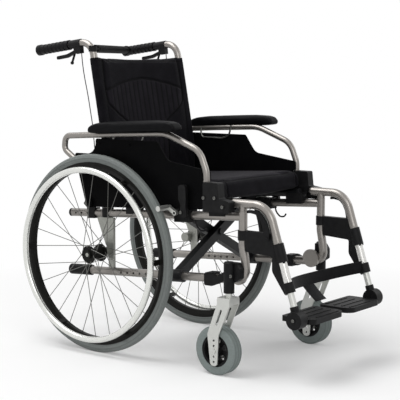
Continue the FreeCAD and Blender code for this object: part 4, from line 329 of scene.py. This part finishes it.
# Polyester webbing of the calf and heel straps, a coarser plain weave with a slight sheen
def webbing():
    mat, tree, shader, coords = surface("polyester_webbing", "0D0D0F", 0.8, 0.0, Sheen_Weight=0.08,
                                        Sheen_Roughness=0.4, Specular_IOR_Level=0.15)
    mottle(tree, shader, coords, "0B0B0D", "121214", 12.0, 4.0)
    threads = weave(tree, coords, 1.26)
    add(tree, "ShaderNodeBump", None, {"Strength": 0.6, "Distance": 0.25 * MM},
        {"Height": threads.outputs[0]}, {"Normal": shader.inputs["Normal"]})
    return mat


# Vinyl jacket of the brake cables
def cable_jacket():
    mat, tree, shader, coords = surface("vinyl_cable_jacket", "0C0C0D", 0.42, 0.0, Specular_IOR_Level=0.3)
    mottle(tree, shader, coords, "0C0C0D", "131314", 8.0, 2.0)
    return mat


CHAMPAGNE = champagne_lacquer()
SILVER = silver_anodised()
HANDRIM = handrim_metal()
CHROME = satin_chrome()
STEEL = stainless()
PLATE = pressed_plate()
BLACK_RIM = black_anodised()
NYLON = moulded_nylon()
POWDER = powder_coat()
ABS = panel_abs()
FOAM = pad_foam()
VINYL = grip_vinyl()
TYRE = tyre_rubber()
CASTER = caster_rubber()
CLOTH = nylon_cloth()
KNIT = spacer_knit()
WEBBING = webbing()
JACKET = cable_jacket()

# What each CAD node is finished in, on both sides
NODE_FINISH = {
    "side_frame": CHAMPAGNE, "back_post": CHAMPAGNE, "armrest_tube": CHAMPAGNE, "hanger_tube": CHAMPAGNE,
    "axle_plate": PLATE, "push_grip": VINYL, "brake_perch": NYLON, "brake_lever": NYLON,
    "brake_cable": JACKET, "frame_fittings": NYLON, "tyre": TYRE, "rim_hub": BLACK_RIM, "handrim": HANDRIM,
    "spokes": STEEL, "caster_fork": SILVER, "caster_tyre": CASTER, "caster_hub": NYLON,
    "armrest_pad": FOAM, "side_panel": ABS, "lock_lever": NYLON, "lock_shoe": SILVER,
    "hanger_bracket": NYLON, "hanger_lower_tube": CHROME, "release_lever": NYLON, "leg_tube": SILVER,
    "footplate_knuckle": NYLON, "footplate": NYLON, "brace_a": POWDER, "brace_b": POWDER, "seat": CLOTH,
    "backrest": CLOTH, "straps": WEBBING, "stabiliser_bar": ABS,
}


for name, obj in NODES.items():
    obj.data.materials.clear()
    obj.data.materials.append(NODE_FINISH[name.removesuffix("_right").removesuffix("_left")])


# The photograph's camera, worked out from the wheels, rails and handles of both sides
def camera():
    data = bpy.data.cameras.new("photo_camera")
    data.lens = 106.94
    data.sensor_width = 36
    data.clip_end = 60
    obj = bpy.data.objects.new("photo_camera", data)
    obj.location = (-2.8899, -2.2493, 0.8828)
    obj.rotation_euler = (math.radians(83.447), 0, math.radians(-51.95))
    bpy.context.scene.collection.objects.link(obj)
    bpy.context.scene.camera = obj


camera()


# Brake cables: a 3 mm vinyl jacket from the lever's clamp down behind the post to the axle plate
CABLE_ROUTE = [
    (-204, 97.0, 914.4), (-204, 94.1, 882.4), (-204, 85.3, 837.5), (-204, 72.6, 788.8),
    (-205, 61.9, 739.7), (-203, 54.1, 691.6), (-204, 48.3, 643.2), (-203, 43.4, 594.8),
    (-198, 40.5, 549.9), (-190, 38.5, 506.7), (-182, 37.5, 465.5), (-180, 32.6, 427.0),
    (-181, 24.9, 399.2), (-186.5, 20.0, 384.0), (-198.8, 18.5, 380.0),
]
CABLE_DIA = 3


def brake_cable(side):
    curve = bpy.data.curves.new("brake_cable_line_" + side, "CURVE")
    curve.dimensions = "3D"
    spline = curve.splines.new("NURBS")
    spline.points.add(len(CABLE_ROUTE) - 1)
    for point, (x, back, z) in zip(spline.points, CABLE_ROUTE):
        point.co = (*at(x * SIDES[side], back, z), 1)
    spline.order_u = 3
    spline.use_endpoint_u = True
    spline.resolution_u = 8
    curve.bevel_depth = CABLE_DIA / 2 * MM
    curve.bevel_resolution = 4
    curve.use_fill_caps = True
    curve.materials.append(JACKET)
    cable = bpy.data.objects.new("bowden_cable_" + side, curve)
    bpy.context.scene.collection.objects.link(cable)
    x, back, z = CABLE_ROUTE[0]
    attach(cable, "frame_" + side)
    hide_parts("brake_cable_" + side)


for side in SIDES:
    brake_cable(side)


# Back to object mode, with nothing selected or with one piece alone
def start_fresh(piece=None):
    if bpy.context.mode != "OBJECT":
        bpy.ops.object.mode_set(mode="OBJECT")
    bpy.ops.object.select_all(action="DESELECT")
    if piece:
        bpy.context.view_layer.objects.active = piece
        piece.select_set(True)


# Opens a piece in edit mode with all its points selected
def edit(piece):
    start_fresh(piece)
    bpy.ops.object.mode_set(mode="EDIT")
    bpy.ops.mesh.select_mode(type="VERT")
    bpy.ops.mesh.select_all(action="SELECT")


# Applies a modifier with the settings given
def finish_with(piece, kind, **settings):
    start_fresh(piece)
    made = piece.modifiers.new("shaping", kind)
    for key, value in settings.items():
        setattr(made, key, value)
    bpy.ops.object.modifier_apply(modifier=made.name)


# Rounds the edges that turn by more than the angle given
def roll_edges(piece, width_mm, segments, degrees):
    finish_with(piece, "BEVEL", width=width_mm * MM, segments=segments, limit_method="ANGLE",
                angle_limit=math.radians(degrees))


# Merges doubles, closes the ends and turns the normals outwards
def close_up(piece):
    edit(piece)
    bpy.ops.mesh.remove_doubles(threshold=0.01 * MM)
    bpy.ops.mesh.select_all(action="DESELECT")
    bpy.ops.mesh.select_non_manifold()
    bpy.ops.mesh.fill_holes(sides=0)
    bpy.ops.mesh.select_all(action="SELECT")
    bpy.ops.mesh.normals_make_consistent(inside=False)
    start_fresh()


# Smooth shading, except over edges that turn by more than the angle given
def smooth(piece, degrees=40):
    start_fresh(piece)
    bpy.ops.object.shade_smooth_by_angle(angle=math.radians(degrees))
    start_fresh()


# Starts a piece as a closed outline of points in metres, ready to be extruded
def outline(name, points):
    start_fresh()
    bpy.ops.mesh.primitive_circle_add(vertices=len(points), radius=0.01, fill_type="NOTHING")
    piece = bpy.context.object
    piece.name = name
    piece.data.name = name
    for vertex, point in zip(piece.data.vertices, points):
        vertex.co = point
    return piece


def extrude_by(step):
    bpy.ops.mesh.extrude_region_move(TRANSFORM_OT_translate={"value": step})


# A second piece for the other side, from the first one mirrored, with its own mesh
def mirrored(piece, name):
    start_fresh()
    other = piece.copy()
    other.data = piece.data.copy()
    other.name = name
    other.data.name = name
    bpy.context.scene.collection.objects.link(other)
    other.data.transform(Matrix.Diagonal((-1, 1, 1, 1)))
    edit(other)
    bpy.ops.mesh.normals_make_consistent(inside=False)
    start_fresh()
    return other


# Gives a piece its finishes and the body that it rides on; one that bends between two bodies rides on none
def dress(piece, body, *finishes):
    piece.data.materials.clear()
    for finish in finishes:
        piece.data.materials.append(finish)
    if body:
        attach(piece, body)


SWELL_FRAMES = 20


# Swells a blank as filled cloth does: an even mesh, cloth under pressure, each point's travel capped
def swell(piece, voxel_mm, pressure, cap_mm, held):
    finish_with(piece, "REMESH", mode="VOXEL", voxel_size=voxel_mm * MM)
    finish_with(piece, "SMOOTH", factor=0.5, iterations=5)
    rest = [vertex.co.copy() for vertex in piece.data.vertices]
    group = piece.vertex_groups.new(name="held")
    group.add([vertex.index for vertex in piece.data.vertices if held(vertex.co)], 1.0, "REPLACE")
    start_fresh(piece)
    filling = piece.modifiers.new("filling", "CLOTH")
    filling.settings.use_pressure = True
    filling.settings.uniform_pressure_force = pressure
    filling.settings.vertex_group_mass = "held"
    filling.settings.effector_weights.gravity = 0
    for step in range(1, SWELL_FRAMES + 1):
        bpy.context.scene.frame_set(step)
    bpy.ops.object.modifier_apply(modifier=filling.name)
    bpy.context.scene.frame_set(1)
    for vertex, start in zip(piece.data.vertices, rest):
        travel = vertex.co - start
        if travel.length > cap_mm * MM:
            vertex.co = start + travel.normalized() * cap_mm * MM
    finish_with(piece, "SMOOTH", factor=0.5, iterations=3)
    finish_with(piece, "SUBSURF", levels=1, render_levels=1)


# Distance in metres from a flat point to a line of flat points
def off_line(place, line):
    best = math.inf
    for one, two in zip(line, line[1:]):
        along = two - one
        share = max(0.0, min(1.0, (place - one).dot(along) / along.length_squared))
        best = min(best, (place - one - along * share).length)
    return best


# Presses sewn lines into a padded piece and marks each line's valley, where its material paints shade.
# lies_on flattens a point onto the plane that the lines are drawn on, or gives None where the piece faces
# another way
def sew(piece, lines, lies_on, width_mm, depth_mm):
    seam_shade_marks = piece.data.attributes.get("seam") or piece.data.attributes.new("seam", "FLOAT", "POINT")
    width = width_mm * MM
    moves = []
    for vertex in piece.data.vertices:
        spot = lies_on(vertex.co, vertex.normal)
        if spot is None:
            continue
        away = min(off_line(spot, line) for line in lines)
        if away < width:
            share = 0.5 + 0.5 * math.cos(math.pi * away / width)
            moves.append((vertex.index, vertex.normal.copy(), share))
    for index, normal, share in moves:
        piece.data.vertices[index].co -= normal * depth_mm * MM * share
        # How much painted shade the cloth gets at this point of the valley
        seam_shade_marks.data[index].value = max(seam_shade_marks.data[index].value, share)


# A line of flat points in metres from millimetres
def line_of(points):
    return [Vector(point) * MM for point in points]


# The seat cushion's blank: its front and rear ends behind the axle, half its width, its thickness and its
# height above the seat tubes' centre line
CUSHION_FRONT, CUSHION_REAR = -447, -36
CUSHION_HALF = 207
CUSHION_THICK = 50
CUSHION_LIFT = 14
# Where it rests on the tubes and keeps its shape: past this distance from the middle, up to this height
REST_X = 178
REST_HEIGHT = 20
# Its seams: round the top, across the front and along the sides
TOP_SEAM_X = 192
TOP_SEAM_INSET = 22
FRONT_SEAMS_X = (-192, -170, 184)
SIDE_SEAM_HEIGHT = 32.8


# Seat cushion: a block with rolled edges, swollen as its foam fills the cover, then sewn
def seat_cushion():
    low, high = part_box("seat")
    start_fresh()
    bpy.ops.mesh.primitive_cube_add(size=1, location=(0, 0, 0))
    piece = bpy.context.object
    piece.name = "seat_cushion"
    edit(piece)
    long = CUSHION_REAR - CUSHION_FRONT
    bpy.ops.transform.resize(value=(2 * CUSHION_HALF * MM, long * MM, CUSHION_THICK * MM))
    start_fresh()
    slope = Matrix.Identity(4)
    slope[2][1] = -CLIMB
    middle = (CUSHION_FRONT + CUSHION_REAR) / 2
    centre = at(0, middle, seat_tube(middle) + CUSHION_LIFT + CUSHION_THICK / 2)
    piece.data.transform(Matrix.Translation(centre) @ slope)
    roll_edges(piece, width_mm=15, segments=4, degrees=50)

    def rests_on_tube(place):
        base = seat_tube(place.y / MM - AXLE_BACK) + REST_HEIGHT
        return abs(place.x) > REST_X * MM and place.z < base * MM

    swell(piece, voxel_mm=5, pressure=4, cap_mm=7, held=rests_on_tube)

    def on_front(place, normal):
        return Vector((place.x, place.z)) if normal.y < -0.35 else None

    def on_top(place, normal):
        return Vector((place.x, place.y)) if normal.z > 0.45 else None

    def on_side(place, normal):
        level = place.z + (place.y / MM - AXLE_BACK) * CLIMB * MM
        return Vector((place.y, level)) if abs(normal.x) > 0.35 else None

    upright = [line_of([(x, 470), (x, 560)]) for x in FRONT_SEAMS_X]
    sew(piece, upright, on_front, width_mm=4.5, depth_mm=2.2)
    edge, front, rear = TOP_SEAM_X * MM, low[1] + TOP_SEAM_INSET * MM, high[1] - TOP_SEAM_INSET * MM
    corners = [(-edge, front), (edge, front), (edge, rear), (-edge, rear), (-edge, front)]
    sew(piece, [[Vector(corner) for corner in corners]], on_top, width_mm=4.5, depth_mm=2.0)
    level = (seat_tube(0) + SIDE_SEAM_HEIGHT) * MM
    along = [Vector((low[1] + 10 * MM, level)), Vector((rear, level))]
    sew(piece, [along], on_side, width_mm=4.5, depth_mm=1.6)
    dress(piece, None, CLOTH, KNIT)
    for face in piece.data.polygons:
        inside = abs(face.center.x) < edge and front < face.center.y < rear
        face.material_index = 1 if inside and face.normal.z > 0.3 else 0
    smooth(piece, 60)
    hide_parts("seat")
    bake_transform(piece)


# The back posts stand straight up to their bend and lean back above it
POST_BACK = -7
POST_BEND = 622
POST_LEAN = math.tan(math.radians(10.5))


# Centre line of the back posts, in mm behind the axle
def post_back(z):
    return POST_BACK + max(0, z - POST_BEND) * POST_LEAN


# The ribbed panel: its top edge is an arch, lower towards the posts, and its sides draw in from its shoulders
# to its waist
ARCH_HEIGHT = 836
SHOULDER = 762
WAIST = 700
WAIST_X = 94
RIB_STEP = 22


def arch_drop(x):
    return 33 * (x / 180) ** 2


# Section of the back upholstery: slack between the posts, less so behind, and round each post in its sleeve
SLEEVE_RADIUS = 15
FRONT_SLACK, REAR_SLACK = 22, 9


def sling_section():
    strips = [step * POST_X / 17 for step in range(-17, 18)]
    turns = [math.radians(turn) for turn in range(30, 151, 30)]
    front = [(x, -SLEEVE_RADIUS + FRONT_SLACK * (1 - (x / POST_X) ** 2)) for x in strips]
    wrap = [(POST_X + SLEEVE_RADIUS * math.sin(turn), -SLEEVE_RADIUS * math.cos(turn)) for turn in turns]
    rear = [(x, SLEEVE_RADIUS + REAR_SLACK * (1 - (x / POST_X) ** 2)) for x in reversed(strips)]
    return front + wrap + rear + [(-x, back) for x, back in reversed(wrap)]


BACK_LEVELS = (503, 543, 583, POST_BEND, 662, 702, 742, 782, 822, 862, 902)


# Back upholstery: slung between the posts, wrapped round both, padded and sewn
def back_upholstery():
    foot = BACK_LEVELS[0]
    piece = outline("back_upholstery", [at(x, post_back(foot) + back, foot) for x, back in sling_section()])
    edit(piece)
    for level, high in zip(BACK_LEVELS, BACK_LEVELS[1:]):
        extrude_by((0, (post_back(high) - post_back(level)) * MM, (high - level) * MM))
    close_up(piece)
    swell(piece, voxel_mm=5, pressure=4, cap_mm=8, held=lambda place: abs(place.x) > 185 * MM)

    def on_face(place, normal):
        return Vector((place.x, place.z)) if normal.y < -0.3 and abs(place.x) < 200 * MM else None

    def on_both(place, normal):
        return Vector((place.x, place.z)) if abs(normal.y) > 0.3 else None

    # The panel's arch, and its sides, which draw in below the shoulders to a narrow waist
    half_arch = [(184, 800), (169, 805), (123, 818), (66, 829)]
    arch = [(-x, z) for x, z in half_arch] + [(0, ARCH_HEIGHT)] + half_arch[::-1]
    edge = [(180, 905), (184, 800), (180, SHOULDER), (164, 746), (143, 730), (112, 712), (WAIST_X, WAIST),
            (88, 640), (90, 498)]
    edges = [line_of([(sign * x, z) for x, z in edge]) for sign in (-1, 1)]
    sew(piece, [line_of(arch)] + edges, on_face, width_mm=6.5, depth_mm=3.2)
    hems = [line_of([(-230, z), (230, z)]) for z in (890, 516)]
    sleeves = [line_of([(x, 498), (x, 908)]) for x in (-187, 187)]
    sew(piece, hems + sleeves, on_both, width_mm=3.6, depth_mm=1.2)
    # Quilted ribs within the panel, each from the hem or the drawn-in side up to just below the arch
    ribs = []
    for step in range(-7, 8):
        x = step * RIB_STEP
        high = ARCH_HEIGHT - arch_drop(x) - 10
        low = 520 if abs(x) < 85 else 712 + (abs(x) - WAIST_X) * 0.55
        ribs.append(line_of([(x, low), (x, high)]))
    sew(piece, ribs, on_face, width_mm=5.5, depth_mm=1.0)
    dress(piece, "frame_right", CLOTH, KNIT)
    for face in piece.data.polygons:
        x, z = face.center.x / MM, face.center.z / MM
        reach = 182 if z > SHOULDER else (WAIST_X + (z - WAIST) * 1.4 if z > WAIST else 88)
        under = z < ARCH_HEIGHT - arch_drop(x)
        face.material_index = 1 if face.normal.y < 0 and abs(x) < reach and under else 0
    smooth(piece, 60)
    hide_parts("backrest")
    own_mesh(piece)


# Armrest pad: a side outline drawn out to the pad's width, its edges rolled over
PAD_OUTLINE = [
    (20, 674), (20, 684), (16, 692), (4, 699), (-16, 704.5), (-60, 708.5), (-136, 712.5), (-200, 715.5),
    (-252, 717.5), (-290, 717), (-308, 713), (-317, 705), (-320, 697), (-316, 690), (-304, 688),
    (-240, 685), (-120, 679), (0, 673),
]
PAD_OUTER_X = 268.3
PAD_WIDTH = 45.6


def armrest_pads():
    piece = outline("armrest_cushion_right", [at(-PAD_OUTER_X, back, z) for back, z in PAD_OUTLINE])
    edit(piece)
    extrude_by((PAD_WIDTH * MM, 0, 0))
    close_up(piece)
    roll_edges(piece, width_mm=7, segments=4, degrees=60)
    swell(piece, voxel_mm=2.5, pressure=1.5, cap_mm=1.2, held=lambda place: place.z < 680 * MM)

    def on_side(place, normal):
        return Vector((place.y, place.z)) if abs(normal.x) > 0.5 else None

    parting = [at(0, back, 684 + (20 - back) * 0.045) for back in range(16, -315, -20)]
    sew(piece, [[Vector((point.y, point.z)) for point in parting]], on_side, width_mm=1.6, depth_mm=0.5)
    smooth(piece, 60)
    both = {"right": piece, "left": mirrored(piece, "armrest_cushion_left")}
    for side, pad in both.items():
        dress(pad, "armrest_" + side, FOAM)
        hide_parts("armrest_pad_" + side)


# Calf strap: a web on edge between the two leg clips, in an arc behind the calves, drooping at its middle
CALF_END, CALF_MIDDLE = 677, 618
CALF_HALF = 188
CALF_LOW, CALF_HIGH = 256, 292
CALF_DROOP = 14
WEB_THICK = 3


def calf_strap():
    depth = CALF_END - CALF_MIDDLE
    radius = (CALF_HALF ** 2 + depth ** 2) / (2 * depth)
    near, far = -CALF_END, -CALF_END + WEB_THICK
    corners = [(near, CALF_LOW), (far, CALF_LOW), (far, CALF_HIGH), (near, CALF_HIGH)]
    calf = outline("calf_web", [at(-CALF_HALF, back, z) for back, z in corners])
    edit(calf)
    centre = at(0, -CALF_MIDDLE - radius, (CALF_LOW + CALF_HIGH) / 2)
    bpy.ops.mesh.spin(steps=40, angle=2 * math.asin(CALF_HALF / radius), center=centre, axis=(0, 0, 1))
    close_up(calf)
    edit(calf)
    bpy.ops.mesh.subdivide(number_cuts=1)
    start_fresh()
    for vertex in calf.data.vertices:
        vertex.co.z -= CALF_DROOP * MM * (1 - (vertex.co.x / (CALF_HALF * MM)) ** 2)
    return calf


# Heel strap: a wide web hung from the calf strap, forwards and down towards the footplates
HEEL_ROUTE = [(-611.5, 272), (-611.5, 258), (-614, 248), (-622, 238), (-640, 221), (-652, 211), (-662, 203)]
HEEL_RIGHT = -41
HEEL_WIDTH = 58


def heel_strap():
    front = [at(HEEL_RIGHT, back, z) for back, z in HEEL_ROUTE]
    rear = [at(HEEL_RIGHT, back + 2.2, z + 1.6) for back, z in reversed(HEEL_ROUTE)]
    heel = outline("heel_web", front + rear)
    edit(heel)
    extrude_by((HEEL_WIDTH * MM, 0, 0))
    close_up(heel)
    return heel


def leg_straps():
    for web in (calf_strap(), heel_strap()):
        roll_edges(web, width_mm=0.8, segments=2, degrees=50)
        smooth(web)
        dress(web, "hanger_right", WEBBING)
        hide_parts("straps")
        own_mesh(web)


seat_cushion()
back_upholstery()
armrest_pads()
leg_straps()


# Socket head screw, modelled once: a cap with a rolled rim and a socket, its head sunk 1 mm below Z = 0
HEAD_DIA = 9.6
HEAD_HEIGHT = 5
HEAD_SUNK = 1
SOCKET_DEPTH = 2.2


def socket_screw():
    start_fresh()
    bpy.ops.mesh.primitive_cylinder_add(vertices=24, radius=HEAD_DIA / 2 * MM, depth=HEAD_HEIGHT * MM,
                                        location=(0, 0, (HEAD_HEIGHT / 2 - HEAD_SUNK) * MM))
    piece = bpy.context.object
    piece.name = "screw_pattern"
    bpy.ops.object.transform_apply(location=True, rotation=True, scale=True)
    edit(piece)
    bpy.ops.mesh.select_all(action="DESELECT")
    bpy.ops.mesh.select_mode(type="FACE")
    start_fresh(piece)
    for face in piece.data.polygons:
        face.select = face.normal.z > 0.9
    bpy.ops.object.mode_set(mode="EDIT")
    bpy.ops.mesh.inset(thickness=2.1 * MM, depth=0)
    bpy.ops.mesh.inset(thickness=0.2 * MM, depth=-SOCKET_DEPTH * MM)
    roll_edges(piece, width_mm=0.6, segments=3, degrees=60)
    smooth(piece, 35)
    return piece


# Where each screw sits on the right side: the carrying body and the point of its seat, in mm
SCREWS = [
    ("frame", (-245.8, -413, 504)), ("frame", (-245.8, -452, 506)), ("frame", (-245.8, -480, 482)),
    ("frame", (-249.4, -513, 290)), ("lock", (-241.0, -326, 455)), ("frame", (-240.5, 52, 455)),
    ("leg", (-224.0, -706, 184)),
]


def screws():
    pattern = socket_screw()
    for side, sign in SIDES.items():
        for index, (body, (x, back, z)) in enumerate(SCREWS):
            piece = bpy.data.objects.new(f"socket_screw_{index}_{side}", pattern.data.copy())
            bpy.context.scene.collection.objects.link(piece)
            outward = Matrix.Rotation(math.radians(-90 * sign), 4, "Y")
            piece.data.transform(Matrix.Translation(at(x * sign, back, z)) @ outward)
            dress(piece, body + "_" + side, STEEL)
    bpy.data.objects.remove(pattern)


# Turns the ring that is selected, about its own middle, to face along the next run
def tilt_ring(piece, middle, axis, angle):
    bpy.ops.object.mode_set(mode="OBJECT")
    turn = Matrix.Translation(middle) @ Matrix.Rotation(angle, 4, axis) @ Matrix.Translation(-middle)
    for vertex in piece.data.vertices:
        if vertex.select:
            vertex.co = turn @ vertex.co
    bpy.ops.object.mode_set(mode="EDIT")


# A ring pushed along a line of points, turned at each one to face the next run, and closed at its ends
def rod(name, points, dia_mm):
    start_fresh()
    bpy.ops.mesh.primitive_circle_add(vertices=14, radius=dia_mm / 2 * MM, fill_type="NOTHING")
    piece = bpy.context.object
    piece.name = name
    directions = [(two - one).normalized() for one, two in zip(points, points[1:])]
    facing = directions[0].to_track_quat("Z", "Y").to_matrix().to_4x4()
    piece.data.transform(Matrix.Translation(points[0]) @ facing)
    edit(piece)
    for index, point in enumerate(points[1:]):
        extrude_by(point - points[index])
        if index + 1 < len(directions):
            turn = directions[index].rotation_difference(directions[index + 1])
            axis, angle = turn.to_axis_angle()
            if angle > 0.01:
                tilt_ring(piece, point, axis, angle)
    close_up(piece)
    smooth(piece, 50)
    return piece


# Rounds the corners of a bent rod's line, each by an arc of a few points
def rounded_line(points, radius_mm):
    line = [points[0]]
    for before, corner, after in zip(points, points[1:], points[2:]):
        one, two = (before - corner).normalized(), (after - corner).normalized()
        reach = min(radius_mm * MM, (before - corner).length * 0.45, (after - corner).length * 0.45)
        start, end = corner + one * reach, corner + two * reach
        for step in range(5):
            share = step / 4
            line.append(start * (1 - share) ** 2 + corner * 2 * share * (1 - share) + end * share ** 2)
    line.append(points[-1])
    return line


# Rods bent in an upright plane along the chair: the steel bracket that carries each side panel from its
# armrest pad, the black hook under each rail, and the sleeve of cloth that stays on each post as the frame
# folds. Each has its body, its distance from the middle, its line, its bends' radius and its diameter
PAD_BRACKET = [(-42, 672), (-44, 641), (-128, 640), (-158, 648), (-166, 684)]
RAIL_HOOK = [(-350, 436), (-354, 416), (-370, 401), (-386, 403), (-392, 412)]
SLEEVE = [(post_back(z), z) for z in (506, POST_BEND, 700, 800, 899)]
BENT_RODS = [
    ("pad_bracket", "armrest", 216.4, PAD_BRACKET, 14, 6, STEEL),
    ("rail_hook", "frame", POST_X, RAIL_HOOK, 8, 5, NYLON),
    ("post_sleeve", "frame", POST_X, SLEEVE, 20, 27, CLOTH),
]


def bent_rods():
    for name, body, x, line, bend_mm, dia_mm, finish in BENT_RODS:
        for side, sign in SIDES.items():
            points = rounded_line([at(-x * sign, back, z) for back, z in line], bend_mm)
            dress(rod(name + "_" + side, points, dia_mm), body + "_" + side, finish)


screws()
bent_rods()


# A pale floor that keeps the shadow near the chair and fades to white between 0.55 and 1.7 m out
def floor():
    start_fresh()
    bpy.ops.mesh.primitive_plane_add(size=40)
    obj = bpy.context.object
    obj.name = "studio_floor"
    mat = bpy.data.materials.new("pale_studio_floor")
    mat.use_nodes = True
    tree = mat.node_tree
    tree.nodes.clear()
    coords = add(tree, "ShaderNodeTexCoord").outputs["Object"]
    far = add(tree, "ShaderNodeVectorMath", {"operation": "LENGTH"}, None, {0: coords}).outputs["Value"]
    fade = add(tree, "ShaderNodeMapRange", None, {"From Min": 0.55, "From Max": 1.7, "To Min": 0.22},
               {"Value": far}).outputs[0]
    path = add(tree, "ShaderNodeLightPath").outputs
    seen = add(tree, "ShaderNodeMath", {"operation": "MAXIMUM"}, None,
               {0: path["Is Camera Ray"], 1: path["Is Glossy Ray"]}).outputs[0]
    share = add(tree, "ShaderNodeMath", {"operation": "MULTIPLY"}, None, {0: fade, 1: seen}).outputs[0]
    plain = add(tree, "ShaderNodeBsdfDiffuse", None, {"Color": (0.92, 0.92, 0.92, 1)}).outputs[0]
    white = add(tree, "ShaderNodeEmission", None, {"Strength": 1.0}).outputs[0]
    mixed = add(tree, "ShaderNodeMixShader", None, None, {0: share, 1: plain, 2: white}).outputs[0]
    add(tree, "ShaderNodeOutputMaterial", None, None, {"Surface": mixed})
    obj.data.materials.append(mat)


# A soft white surround: what the camera and the metal see is white, what lights the object is dimmer
def surround():
    world = bpy.data.worlds.new("studio")
    bpy.context.scene.world = world
    world.use_nodes = True
    tree = world.node_tree
    tree.nodes.clear()
    path = add(tree, "ShaderNodeLightPath").outputs
    seen = add(tree, "ShaderNodeMath", {"operation": "MAXIMUM"}, None,
               {0: path["Is Camera Ray"], 1: path["Is Glossy Ray"]}).outputs[0]
    level = add(tree, "ShaderNodeMapRange", None, {"To Min": 0.42, "To Max": 1.0}, {"Value": seen}).outputs[0]
    back = add(tree, "ShaderNodeBackground", None, {"Color": (1, 1, 1, 1)}, {"Strength": level}).outputs[0]
    add(tree, "ShaderNodeOutputWorld", None, None, {"Surface": back})


# A square softbox at a place, turned towards another
def lamp(name, where, towards, size, watts):
    data = bpy.data.lights.new(name, "AREA")
    data.shape = "SQUARE"
    data.size = size
    data.energy = watts
    obj = bpy.data.objects.new(name, data)
    obj.location = where
    obj.rotation_euler = (Vector(towards) - Vector(where)).to_track_quat("-Z", "Y").to_euler()
    bpy.context.scene.collection.objects.link(obj)


floor()
surround()
lamp("overhead_softbox", (-0.9, 0.9, 3.2), (0, -0.1, 0.3), 2.2, 74)
lamp("front_softbox", (-2.6, -3.0, 2.4), (0, 0, 0.5), 2.0, 40)
lamp("side_softbox", (2.8, -1.6, 2.2), (0, 0, 0.5), 1.6, 16)
bpy.context.scene.view_settings.view_transform = "Standard"
